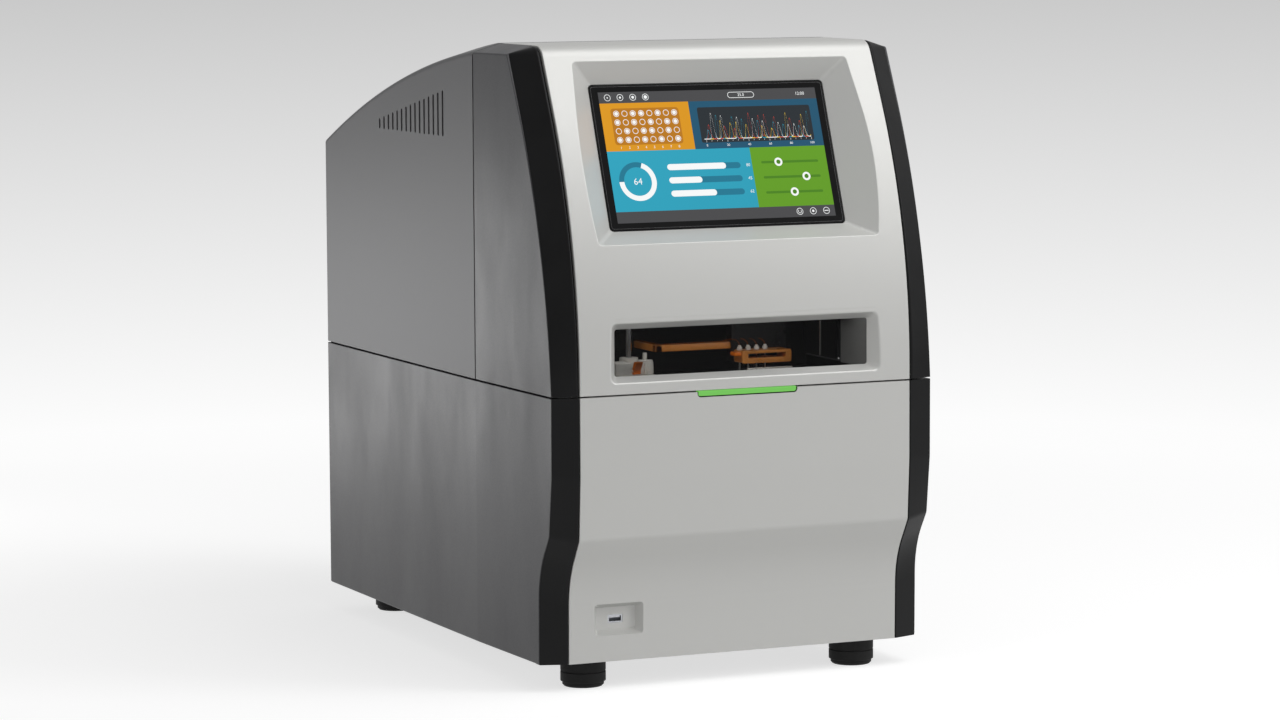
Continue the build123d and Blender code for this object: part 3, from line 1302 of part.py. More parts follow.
with BuildPart() as sampler_lift:
    lift_x = (HEADER_X - LIFT_HALF, HEADER_X + LIFT_HALF)
    block(lift_x, (TRAY_V[1] - LIFT_HALF, TRAY_V[1]), LIFT_Z)
    for post_x in (POST_LEFT, POST_RIGHT):
        rod(
            (post_x, HEADER_DEPTH, LIFT_Z[0] - 1),
            (post_x, HEADER_DEPTH, LIFT_Z[1] + 1),
            SLIDE_RADIUS + RUNNING,
            Mode.SUBTRACT,
        )
    # side cheeks rise from the bearing block to the tray platform
    for cheek in ((lift_x[0] - CHEEK, lift_x[0]), (lift_x[1], lift_x[1] + CHEEK)):
        block(cheek, (TRAY_V[0] + 22, TRAY_V[1]), (LIFT_Z[0], TRAY_BASE - 4))
    block(TRAY_X, TRAY_V, (TRAY_BASE - 4, TRAY_BASE))
save(sampler_lift, "sampler_lift")

WELL_RADIUS = 3.2
WELL_ROWS = (-63, -54, -45, -36, -27)
BLOCK_SHIFTS = (-36, 0, 36)

with BuildPart() as sample_tray:
    with BuildSketch(Plane.XY.offset(TRAY_BASE)):
        with Locations(((TRAY_X[0] + TRAY_X[1]) / 2, FRONT + (TRAY_V[0] + TRAY_V[1]) / 2)):
            RectangleRounded(TRAY_X[1] - TRAY_X[0], TRAY_V[1] - TRAY_V[0], 5)
    extrude(amount=TRAY_TALL)
    fillet(edges().group_by(Axis.Z)[-1], radius=1.2)
    # a pocket under each strip holder and one for the buffer container
    for shift in BLOCK_SHIFTS:
        block(
            (HEADER_X + shift - 17, HEADER_X + shift + 17),
            (HEADER_DEPTH - 69, HEADER_DEPTH - 21),
            (TRAY_FLOOR, TRAY_TOP),
            Mode.SUBTRACT,
        )
    buffer_pocket = (HEADER_DEPTH - 17, HEADER_DEPTH + 11)
    block((TRAY_X[0] + 3, TRAY_X[1] - 3), buffer_pocket, (TRAY_FLOOR, TRAY_TOP), Mode.SUBTRACT)
save(sample_tray, "sample_tray")

with BuildPart() as sample_strips:
    for shift in BLOCK_SHIFTS:
        block(
            (HEADER_X + shift - 16.6, HEADER_X + shift + 16.6),
            (HEADER_DEPTH - 68.6, HEADER_DEPTH - 21.4),
            (TRAY_FLOOR, TRAY_TOP - 2),
        )
        with BuildSketch(Plane.XY.offset(TRAY_TOP - 2)) as wells:
            for row in WELL_ROWS:
                with Locations((HEADER_X + shift, FRONT + HEADER_DEPTH + row)):
                    with GridLocations(TIP_PITCH, 0, TIP_COUNT, 1):
                        Circle(WELL_RADIUS)
        extrude(amount=-12, mode=Mode.SUBTRACT)
save(sample_strips, "sample_strips")

with BuildPart() as cathode_buffer_container:
    # three chambers: buffer, water and waste, each under its own group of tips
    body_depth = (HEADER_DEPTH - 16.6, HEADER_DEPTH + 10.6)
    block((TRAY_X[0] + 3.4, TRAY_X[1] - 3.4), body_depth, (TRAY_FLOOR, TRAY_TOP))
    fillet(edges().filter_by(Axis.Z), radius=3)
    for shift in BLOCK_SHIFTS:
        block(
            (HEADER_X + shift - 16.5, HEADER_X + shift + 16.5),
            (HEADER_DEPTH - 8, HEADER_DEPTH + 8),
            (TRAY_FLOOR + 2, TRAY_TOP + 1),
            Mode.SUBTRACT,
        )
save(cathode_buffer_container, "cathode_buffer_container")

# Capillary array: oven, header and four capillaries
OVEN_X = (-16, 148)
OVEN_LOW = SEAM_HEIGHT + 56
OVEN_HIGH = HEIGHT - 44
OVEN_GAP = 52
OVEN_CHIN = 36
OVEN_MID = (OVEN_LOW + OVEN_CHIN + OVEN_HIGH) / 2 + 1
OVEN_WIDTH = OVEN_X[1] - OVEN_X[0]
CHAMBER_TALL = OVEN_HIGH - OVEN_LOW - 70
CHAMBER_MARGIN = 20
CHAMBER_DEPTH = 36
COVER_MARGIN = 4
COVER_THICKNESS = 7
HEADER_LOW = TRAY_TOP + 10
HEADER_HIGH = HEADER_LOW + 12


def oven_front(z):
    """Depth of the oven's sloping front, parallel to the glass."""
    return behind_glass(z, OVEN_GAP)


with BuildPart() as oven_body:
    with BuildSketch(Plane.YZ.offset(OVEN_X[0])):
        with BuildLine():
            Polyline(
                at(oven_front(OVEN_LOW) + 34, OVEN_LOW),
                at(oven_front(OVEN_LOW + OVEN_CHIN), OVEN_LOW + OVEN_CHIN),
                at(oven_front(OVEN_HIGH), OVEN_HIGH),
                at(BULKHEAD_DEPTH, OVEN_HIGH),
                at(BULKHEAD_DEPTH, OVEN_LOW),
                close=True,
            )
        make_face()
    extrude(amount=OVEN_WIDTH)
    fillet(edges().filter_by(Axis.Y), radius=4)
    # the chamber for the capillary loop
    chamber = Plane(
        origin=((OVEN_X[0] + OVEN_X[1]) / 2, *at(oven_front(OVEN_MID), OVEN_MID)),
        x_dir=(1, 0, 0),
        z_dir=glass_plane.z_dir,
    )
    with BuildSketch(chamber):
        RectangleRounded(OVEN_WIDTH - 2 * CHAMBER_MARGIN, CHAMBER_TALL, 12)
    extrude(amount=-CHAMBER_DEPTH, mode=Mode.SUBTRACT)
save(oven_body, "oven_body")

with BuildPart() as oven_cover:
    with BuildSketch(chamber.offset(0.2)):
        RectangleRounded(OVEN_WIDTH - 2 * COVER_MARGIN, CHAMBER_TALL + 28, 9)
    extrude(amount=COVER_THICKNESS)
    fillet(faces().sort_by(Axis.Y)[0].edges(), radius=2)
    # a pull along the left edge
    with BuildSketch(chamber.offset(COVER_THICKNESS)):
        with Locations((18 - OVEN_WIDTH / 2, 0)):
            RectangleRounded(12, 70, 5)
    extrude(amount=5)
save(oven_cover, "oven_cover")

with BuildPart() as capillary_header:
    # amber frame with a long slot, hung from the oven by a plate behind it
    with BuildSketch(Plane.XZ.offset(-(FRONT + HEADER_DEPTH - HEADER_REACH[0]))):
        with Locations((HEADER_X + 10, (HEADER_LOW + HEADER_HIGH) / 2)):
            RectangleRounded(HEADER_WIDTH, HEADER_HIGH - HEADER_LOW, 2)
            with Locations((0, 1)):
                Rectangle(HEADER_WIDTH - 12, 4.5, mode=Mode.SUBTRACT)
    extrude(amount=-(HEADER_REACH[0] + HEADER_REACH[1]))
    hanger_v = (HEADER_DEPTH + HEADER_REACH[1], HEADER_DEPTH + HEADER_REACH[1] + 12)
    block((HEADER_X - 18, HEADER_X + 40), hanger_v, (HEADER_LOW, OVEN_LOW))
    for tip in range(TIP_COUNT):
        tip_x = HEADER_X + (tip - (TIP_COUNT - 1) / 2) * TIP_PITCH
        bore_end = (tip_x, HEADER_DEPTH, HEADER_HIGH + 1)
        rod((tip_x, HEADER_DEPTH, HEADER_LOW - 1), bore_end, TIP_RADIUS, Mode.SUBTRACT)
save(capillary_header, "capillary_header")

with BuildPart() as capillary_tips:
    for tip in range(TIP_COUNT):
        tip_x = HEADER_X + (tip - (TIP_COUNT - 1) / 2) * TIP_PITCH
        rod((tip_x, HEADER_DEPTH, TIP_END), (tip_x, HEADER_DEPTH, HEADER_HIGH + 3), TIP_RADIUS)
save(capillary_tips, "capillary_tips")

# Detection and polymer delivery on the left
DETECTION_X = (-92, -24)
DETECTION_LOW = DECK_TOP + 31
DETECTION_TOP = DETECTION_LOW + 72
DETECTION_FRONT = 166
PUMP_X = (-94, -42)
PUMP_V = (112, 172)
PUMP_TOP = DECK_TOP + 15
PUMP_BOSS_X = (PUMP_X[0] + 10, PUMP_X[0] + 26)
PLUNGER_X = -56
PLUNGER_V = 148
PLUNGER_RADIUS = 3
BARREL_RADIUS = 9
BARREL_TOP = PUMP_TOP + 14
LEVER_X = (-64, -57)
LEVER_PIVOT = (120, PUMP_TOP + 3.6)
LEVER_PIN = 1.2
LEVER_HUB = 3
KNOB_X = -48
KNOB_V = 128
KNOB_RADIUS = 7.6
KNOB_BASE = PUMP_TOP + 0.4
KNOB_TOP = PUMP_TOP + 13
KNOB_RIBS = 16
CARTRIDGE_X = (-166, -108)
CARTRIDGE_LOW = DECK_TOP + 31
CARTRIDGE_TOP = CARTRIDGE_LOW + 140
CARTRIDGE_V = (150, 214)
BOTTLE_X = (-164, -106)
BOTTLE_V = (84, 136)
BOTTLE_TOP = DECK_TOP + 37

with BuildPart() as detection_unit:
    with BuildSketch(Plane.YZ.offset(DETECTION_X[0])):
        with BuildLine():
            Polyline(
                at(DETECTION_FRONT + 16, DETECTION_LOW + 18),
                at(DETECTION_FRONT, DETECTION_LOW + 30),
                at(DETECTION_FRONT, DETECTION_TOP - 16),
                at(DETECTION_FRONT + 24, DETECTION_TOP),
                at(BULKHEAD_DEPTH, DETECTION_TOP),
                at(BULKHEAD_DEPTH, DETECTION_LOW),
                at(DETECTION_FRONT + 24, DETECTION_LOW),
                close=True,
            )
        make_face()
    extrude(amount=DETECTION_X[1] - DETECTION_X[0])
    fillet(edges().filter_by(Axis.X), radius=3)
save(detection_unit, "detection_unit")

with BuildPart() as pump_block:
    block(PUMP_X, PUMP_V, (DECK_TOP, PUMP_TOP))
    fillet(edges().filter_by(Axis.Z), radius=4)
    block(PUMP_BOSS_X, (PUMP_V[0] + 2, PUMP_V[0] + 26), (PUMP_TOP, PUMP_TOP + 12))
    # the plunger's barrel stands at the back
    plunger_foot = (PLUNGER_X, PLUNGER_V, PUMP_TOP - 8)
    barrel_foot = (PLUNGER_X, PLUNGER_V, PUMP_TOP)
    barrel_end = (PLUNGER_X, PLUNGER_V, BARREL_TOP)
    rod(barrel_foot, barrel_end, BARREL_RADIUS)
    rod(plunger_foot, (PLUNGER_X, PLUNGER_V, BARREL_TOP + 1), PLUNGER_RADIUS + RUNNING, Mode.SUBTRACT)
    # the pin of the locking lever
    rod((PUMP_BOSS_X[1] - 2, *LEVER_PIVOT), (LEVER_X[1] + 0.6, *LEVER_PIVOT), LEVER_PIN)
save(pump_block, "pump_block")

with BuildPart() as polymer_cartridge:
    with BuildSketch(Plane.YZ.offset(CARTRIDGE_X[0])):
        with BuildLine():
            Polyline(
                at(CARTRIDGE_V[0], CARTRIDGE_LOW),
                at(CARTRIDGE_V[0] + 18, CARTRIDGE_TOP),
                at(CARTRIDGE_V[1], CARTRIDGE_TOP),
                at(CARTRIDGE_V[1], CARTRIDGE_LOW),
                close=True,
            )
        make_face()
        fillet(vertices(), radius=5)
    extrude(amount=CARTRIDGE_X[1] - CARTRIDGE_X[0])
    # its stand
    stand_x = (CARTRIDGE_X[0], CARTRIDGE_X[1] + 4)
    block(stand_x, (CARTRIDGE_V[0] - 10, BULKHEAD_DEPTH), (DECK_TOP, CARTRIDGE_LOW))
save(polymer_cartridge, "polymer_cartridge")

with BuildPart() as anode_buffer_container:
    block(BOTTLE_X, BOTTLE_V, (DECK_TOP, BOTTLE_TOP))
    fillet(edges().filter_by(Axis.Z), radius=6)
    fillet(faces().sort_by(Axis.Z)[-1].edges(), radius=2)
save(anode_buffer_container, "anode_buffer_container")

with BuildPart() as valve_knob:
    rod((KNOB_X, KNOB_V, KNOB_BASE), (KNOB_X, KNOB_V, KNOB_TOP), KNOB_RADIUS)
    with BuildSketch(Plane.XY.offset(KNOB_BASE)):
        with Locations((KNOB_X, FRONT + KNOB_V)):
            with PolarLocations(KNOB_RADIUS, KNOB_RIBS):
                Circle(0.7)
    extrude(amount=KNOB_TOP - KNOB_BASE - 2)
    rod((KNOB_X, KNOB_V, KNOB_TOP), (KNOB_X, KNOB_V, KNOB_TOP + 7), 2)
save(valve_knob, "valve_knob")

with BuildPart() as pump_plunger:
    plunger_top = (PLUNGER_X, PLUNGER_V, BARREL_TOP + 32)
    rod((PLUNGER_X, PLUNGER_V, PUMP_TOP + 2), plunger_top, PLUNGER_RADIUS)
    rod(plunger_top, (PLUNGER_X, PLUNGER_V, BARREL_TOP + 40), PLUNGER_RADIUS + 4)
save(pump_plunger, "pump_plunger")

with BuildPart() as lock_lever:
    # a round hub on its pin, an arm and a finger tab that leans forward
    lever_v, lever_z = LEVER_PIVOT
    with BuildSketch(Plane.YZ.offset(LEVER_X[0])):
        with Locations(at(*LEVER_PIVOT)):
            Circle(LEVER_HUB)
        with BuildLine():
            Polyline(
                at(lever_v - 2.5, lever_z + 0.4),
                at(lever_v - 8.5, lever_z + 9.4),
                at(lever_v - 3, lever_z + 9.4),
                at(lever_v + 2.5, lever_z + 1),
                close=True,
            )
        make_face()
        with Locations(at(*LEVER_PIVOT)):
            Circle(LEVER_PIN + RUNNING, mode=Mode.SUBTRACT)
    extrude(amount=LEVER_X[1] - LEVER_X[0])
save(lock_lever, "lock_lever")

# Electronics behind the bulkhead
BEHIND_BULKHEAD = BULKHEAD_DEPTH + SHEET
SUPPLY_X = (-170, -20)
SUPPLY_V = (DEPTH - 200, DEPTH - 30)
SUPPLY_TOP = 130
LASER_X = (-150, -90)
LASER_LENGTH = 155
LASER_Z = (DECK_TOP + 31, DECK_TOP + 91)
BOARD_X = (20, 180)
BOARD_Z = (60, 230)
BOARD_THICKNESS = 8
HEAT_SINK_X = (BOARD_X[0] + 20, BOARD_X[0] + 70)
HEAT_SINK_Z = (BOARD_Z[0] + 30, BOARD_Z[0] + 80)
HEAT_SINK_DEPTH = 16

with BuildPart() as power_supply:
    block(SUPPLY_X, SUPPLY_V, (FOOT_HEIGHT + SHEET, SUPPLY_TOP))
    fillet(edges().filter_by(Axis.Z), radius=3)
save(power_supply, "power_supply")

with BuildPart() as laser_module:
    block(LASER_X, (BEHIND_BULKHEAD, BEHIND_BULKHEAD + LASER_LENGTH), LASER_Z)
    fillet(edges().filter_by(Axis.Y), radius=4)
save(laser_module, "laser_module")

with BuildPart() as control_board:
    board_rear = BEHIND_BULKHEAD + BOARD_THICKNESS
    block(BOARD_X, (BEHIND_BULKHEAD, board_rear), BOARD_Z)
    block(HEAT_SINK_X, (board_rear, board_rear + HEAT_SINK_DEPTH), HEAT_SINK_Z)
save(control_board, "control_board")
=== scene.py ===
"""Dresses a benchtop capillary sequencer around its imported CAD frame.

Lengths in this file are millimetres unless a name says otherwise. A point is
given as (x, depth, height): x from the middle, depth behind the foremost face
of the casing and height above the bench. `row` turns such points into metres
in the frame that the CAD uses.
"""

from __future__ import annotations

import logging
import math
from dataclasses import dataclass, field
from enum import Enum
from typing import Iterable, Sequence

import bpy
import numpy as np
from mathutils import Matrix, Vector


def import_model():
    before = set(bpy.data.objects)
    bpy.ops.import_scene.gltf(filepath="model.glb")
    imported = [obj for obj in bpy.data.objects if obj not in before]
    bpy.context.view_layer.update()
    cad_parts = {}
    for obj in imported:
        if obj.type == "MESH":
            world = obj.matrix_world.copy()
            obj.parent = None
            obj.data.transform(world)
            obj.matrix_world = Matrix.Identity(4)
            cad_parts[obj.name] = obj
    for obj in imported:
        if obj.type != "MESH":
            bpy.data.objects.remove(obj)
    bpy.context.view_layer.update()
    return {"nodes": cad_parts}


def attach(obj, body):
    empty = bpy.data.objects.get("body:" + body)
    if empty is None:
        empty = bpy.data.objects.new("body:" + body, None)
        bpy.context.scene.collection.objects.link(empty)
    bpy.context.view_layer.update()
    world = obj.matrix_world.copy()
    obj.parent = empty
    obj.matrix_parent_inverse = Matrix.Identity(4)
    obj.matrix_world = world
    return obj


LOG = logging.getLogger("sequencer")
FRONT = -300.0
GLASS_LEAN = math.radians(20.93)
SMOOTH_ANGLE = math.radians(35.0)

HANGER_FOOT = 0.30305
HANGER_FACE = -0.1721

Colour = tuple[float, float, float]
# Near black: painted shade on inner faces seen through the window, and the own black of the header's hanger.
SHADE_AND_HANGER_BLACK: Colour = (0.008, 0.008, 0.009)


class Body(str, Enum):
    """The CAD bodies that new pieces ride on."""

    CHASSIS = "chassis"
    DOOR = "door"
    LIFT = "lift_stage"


def srgb(red: int, green: int, blue: int) -> Colour:
    """Linear colour of a display colour given as three values up to 255.

    Args:
        red: display value of red.
        green: display value of green.
        blue: display value of blue.

    Returns:
        The linear values, by the sRGB curve.
    """
    values = np.array([red, green, blue]) / 255
    linear = np.where(values <= 0.04045, values / 12.92, ((values + 0.055) / 1.055) ** 2.4)
    return tuple(float(v) for v in linear)


def row(points: np.ndarray | Sequence) -> np.ndarray:
    """Points in metres in the row frame from (x, depth, height) in millimetres."""
    return (np.asarray(points, float) + [0.0, FRONT, 0.0]) / 1000


# Geometry


@dataclass
class Shape:
    """Points and faces of a piece before it becomes a mesh.

    Attributes:
        points: one row per point, (x, depth, height).
        faces: point numbers of each face, outward.
        marks: the number of each face's finish.
    """

    points: np.ndarray
    faces: list[tuple[int, ...]]
    marks: list[int]


def joined(shapes: Iterable[Shape]) -> Shape:
    """One shape from several: the points stacked, and face numbers moved up by what stands before."""
    shapes = list(shapes)
    starts = np.cumsum([0] + [len(s.points) for s in shapes])
    faces = [tuple(int(i) + int(start) for i in face) for s, start in zip(shapes, starts) for face in s.faces]
    marks = [mark for s in shapes for mark in s.marks]
    return Shape(np.concatenate([s.points for s in shapes]), faces, marks)


def lofted(rings: np.ndarray, mark: int = 0, caps: bool = True) -> Shape:
    """A skin through closed rings of equal point count, anticlockwise seen from the last one.

    The quad between ring i and point j joins (i, j), (i, j+1), (i+1, j+1), (i+1, j),
    with j+1 taken round to 0.

    Args:
        rings: array of ring, point, coordinate.
        mark: finish number.
        caps: whether the first and last ring are closed with one face each.

    Returns:
        The shape.
    """
    count, around = rings.shape[:2]
    i, j = np.meshgrid(np.arange(count - 1), np.arange(around), indexing="ij")
    k = (j + 1) % around
    quads = np.stack([i * around + j, i * around + k, (i + 1) * around + k, (i + 1) * around + j], -1)
    faces = [tuple(q) for q in quads.reshape(-1, 4).tolist()]
    if caps:
        faces.append(tuple(range(around))[::-1])
        faces.append(tuple(range((count - 1) * around, count * around)))
    return Shape(rings.reshape(-1, 3), faces, [mark] * len(faces))


def mirrored(shape: Shape) -> Shape:
    """The same shape across the middle: x changes sign, and each face runs the other way."""
    return Shape(shape.points * [-1.0, 1.0, 1.0], [face[::-1] for face in shape.faces], shape.marks)


def both(shape: Shape) -> Shape:
    """A shape and its mirror image."""
    return joined([shape, mirrored(shape)])


@dataclass(frozen=True)
class Place:
    """A flat place to build on: its origin and three directions at right angles."""

    origin: tuple[float, float, float]
    right: tuple[float, float, float] = (1.0, 0.0, 0.0)
    up: tuple[float, float, float] = (0.0, 0.0, 1.0)

    def put(self, local: np.ndarray) -> np.ndarray:
        """Points given as (along right, along up, outward), out being right x up."""
        axes = np.array([self.right, self.up, np.cross(self.right, self.up)])
        return np.asarray(local, float) @ axes + np.array(self.origin)

    def shift(self, right: float = 0.0, up: float = 0.0, out: float = 0.0) -> "Place":
        """The same directions from another point of this place."""
        return Place(tuple(self.put(np.array([right, up, out]))), self.right, self.up)


def circle(radius: float, count: int = 24) -> np.ndarray:
    """Points round a circle: radius times cosine and sine of equal steps."""
    turn = np.linspace(0, 2 * np.pi, count, endpoint=False)
    return radius * np.stack([np.cos(turn), np.sin(turn)], -1)


def hexagon(flats: float, count: int = 24) -> np.ndarray:
    """Points round a hexagon: half the width across flats over the cosine of the angle from a flat."""
    turn = np.linspace(0, 2 * np.pi, count, endpoint=False)
    reach = flats / 2 / np.cos((turn + np.pi / 6) % (np.pi / 3) - np.pi / 6)
    return reach[:, None] * np.stack([np.cos(turn), np.sin(turn)], -1)


def rounded(width: float, tall: float, radius: float, steps: int = 5) -> np.ndarray:
    """A rounded rectangle: a quarter circle about each inner corner, in turn."""
    radius = min(radius, width / 2 - 1e-4, tall / 2 - 1e-4)
    corners = np.array([[1, 1], [-1, 1], [-1, -1], [1, -1]]) * [width / 2 - radius, tall / 2 - radius]
    turn = np.radians(90 * np.arange(4)[:, None] + np.linspace(0, 90, steps)[None, :])
    arcs = corners[:, None, :] + radius * np.stack([np.cos(turn), np.sin(turn)], -1)
    return arcs.reshape(-1, 2)


def layered(outlines: Sequence[tuple[np.ndarray, float]], place: Place, mark: int = 0) -> Shape:
    """A skin through flat outlines at rising heights above a place.

    Args:
        outlines: pairs of outline (n, 2) and height, all of the same count.
        place: where they stand.
        mark: finish number.

    Returns:
        The closed shape.
    """
    rings = [np.column_stack([outline, np.full(len(outline), level)]) for outline, level in outlines]
    return lofted(place.put(np.array(rings)), mark)


def plate(
    width: float, tall: float, thick: float, radius: float, place: Place, mark: int = 0, edge: float = 0.0
) -> Shape:
    """A rounded plate with a softened top edge."""
    full = rounded(width, tall, radius)
    if edge <= 0:
        return layered([(full, 0), (full, thick)], place, mark)
    near = rounded(width - 0.6 * edge, tall - 0.6 * edge, radius)
    top = rounded(width - 2 * edge, tall - 2 * edge, max(radius - edge, 0.05))
    return layered([(full, 0), (full, thick - edge), (near, thick - 0.3 * edge), (top, thick)], place, mark)


def ring(outer: np.ndarray, inner: np.ndarray, thick: float, place: Place, mark: int = 0) -> Shape:
    """A closed frame between two outlines of equal count, from its place up to a height."""
    outlines = [(outer, 0.0), (outer, thick), (inner, thick), (inner, 0.0), (outer, 0.0)]
    rings = [np.column_stack([outline, np.full(len(outline), level)]) for outline, level in outlines]
    return lofted(place.put(np.array(rings)), mark, caps=False)


def turned(profile: Sequence[tuple[float, float]], place: Place, count: int = 24, mark: int = 0) -> Shape:
    """A turned form: each (radius, height) of the profile carried round the place's outward axis."""
    return layered([(circle(max(radius, 0.01), count), level) for radius, level in profile], place, mark)


def tube(path: np.ndarray, radius: float, count: int = 10, mark: int = 0) -> Shape:
    """A round tube along a path: a circle square to the path's slope at each point.

    The side direction is the cross product of the slope with a fixed direction far
    from the whole path's main run, and the second is the cross of the two.
    """
    path = np.asarray(path, float)
    slope = np.gradient(path, axis=0)
    slope /= np.linalg.norm(slope, axis=1, keepdims=True)
    spread = np.abs(slope).mean(0)
    fixed = np.zeros(3)
    fixed[int(np.argmin(spread))] = 1.0
    side = np.cross(slope, fixed)
    side /= np.linalg.norm(side, axis=1, keepdims=True)
    other = np.cross(slope, side)
    hoop = circle(radius, count)
    rings = path[:, None, :] + hoop[None, :, :1] * side[:, None, :] + hoop[None, :, 1:] * other[:, None, :]
    return lofted(rings, mark)


def bezier(points: Sequence[Sequence[float]], count: int = 32) -> np.ndarray:
    """A smooth path: the Bernstein sum of the control points over the whole run."""
    control = np.asarray(points, float)
    order = len(control) - 1
    t = np.linspace(0, 1, count)[:, None]
    terms = [math.comb(order, k) * t**k * (1 - t) ** (order - k) * control[k] for k in range(order + 1)]
    return np.sum(terms, axis=0)


def ribbon(
    across: np.ndarray, level: np.ndarray, width: float, place: Place, lift: float, mark: int
) -> Shape:
    """A flat line on a place: the same curve half a width up and half a width down."""
    low = np.column_stack([across, level - width / 2, np.full_like(across, lift)])
    high = np.column_stack([across, level + width / 2, np.full_like(across, lift)])
    points = place.put(np.concatenate([low, high]))
    n = len(across)
    i = np.arange(n - 1)
    quads = np.stack([i, i + 1, n + i + 1, n + i], -1)
    return Shape(points, [tuple(q) for q in quads.tolist()], [mark] * (n - 1))


class Head(Enum):
    """The kinds of screw head on the machine."""

    SOCKET = "socket"
    PAN = "pan"
    FLAT = "flat"

    @property
    def rise(self) -> float:
        """Height of the head as a share of its radius."""
        return {"socket": 1.0, "pan": 0.6, "flat": 0.28}[self.value]


def screw(place: Place, radius: float, kind: Head = Head.SOCKET) -> Shape:
    """A screw head: a domed or straight turned head with a six-sided recess in its top."""
    tall = radius * kind.rise
    straight = kind is Head.SOCKET
    recess = hexagon(radius * (1.1 if straight else 0.9))
    outlines = [
        (circle(radius), 0.0),
        (circle(radius), tall * (0.8 if straight else 0.3)),
        (circle(radius * 0.93), tall * (0.95 if straight else 0.72)),
        (circle(radius * 0.84), tall),
        (recess * 1.04, tall),
        (recess, tall * 0.94),
        (recess, tall * 0.4),
    ]
    return layered(outlines, place)


def figures(words: str, tall: float, place: Place, mark: int = 0) -> Shape:
    """Plain numbers as flat faces, centred on a place.

    Args:
        words: the numbers.
        tall: their type size.
        place: where they lie.
        mark: finish number.

    Returns:
        The faces of the built-in type, flattened to a mesh.
    """
    curve = bpy.data.curves.new("figures", "FONT")
    curve.body, curve.size, curve.resolution_u = words, tall, 3
    curve.align_x, curve.align_y = "CENTER", "CENTER"
    holder = bpy.data.objects.new("figures", curve)
    mesh = bpy.data.meshes.new_from_object(holder)
    points = np.empty(len(mesh.vertices) * 3)
    mesh.vertices.foreach_get("co", points)
    faces = [tuple(face.vertices) for face in mesh.polygons]
    bpy.data.objects.remove(holder)
    bpy.data.curves.remove(curve)
    bpy.data.meshes.remove(mesh)
    return Shape(place.put(points.reshape(-1, 3)), faces, [mark] * len(faces))


def piece(name: str, shape: Shape, finishes: Sequence["Finish"], body: Body) -> None:
    """Makes an object from a shape, in the row frame, and lets it ride on a body.

    Args:
        name: the piece's name.
        shape: its points and faces.
        finishes: one finish per mark.
        body: the CAD body that carries it.
    """
    mesh = bpy.data.meshes.new(name)
    mesh.from_pydata(row(shape.points).tolist(), [], shape.faces)
    for finish in finishes:
        mesh.materials.append(finish.material())
    mesh.polygons.foreach_set("material_index", np.array(shape.marks, np.int32))
    mesh.validate()
    mesh.update()
    mesh.shade_smooth()
    mesh.set_sharp_from_angle(angle=SMOOTH_ANGLE)
    made = bpy.data.objects.new(name, mesh)
    bpy.context.scene.collection.objects.link(made)
    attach(made, body.value)
    LOG.info("%s: %d faces on %s", name, len(shape.faces), body.value)


# Finishes


class Inner(Enum):
    """Which faces of a part are coloured near black: inner faces as painted shade, and the header's hanger in
    its own black.
    """

    NONE = "none"
    SIDES = "sides"
    REAR = "rear"
    HANGER = "hanger"


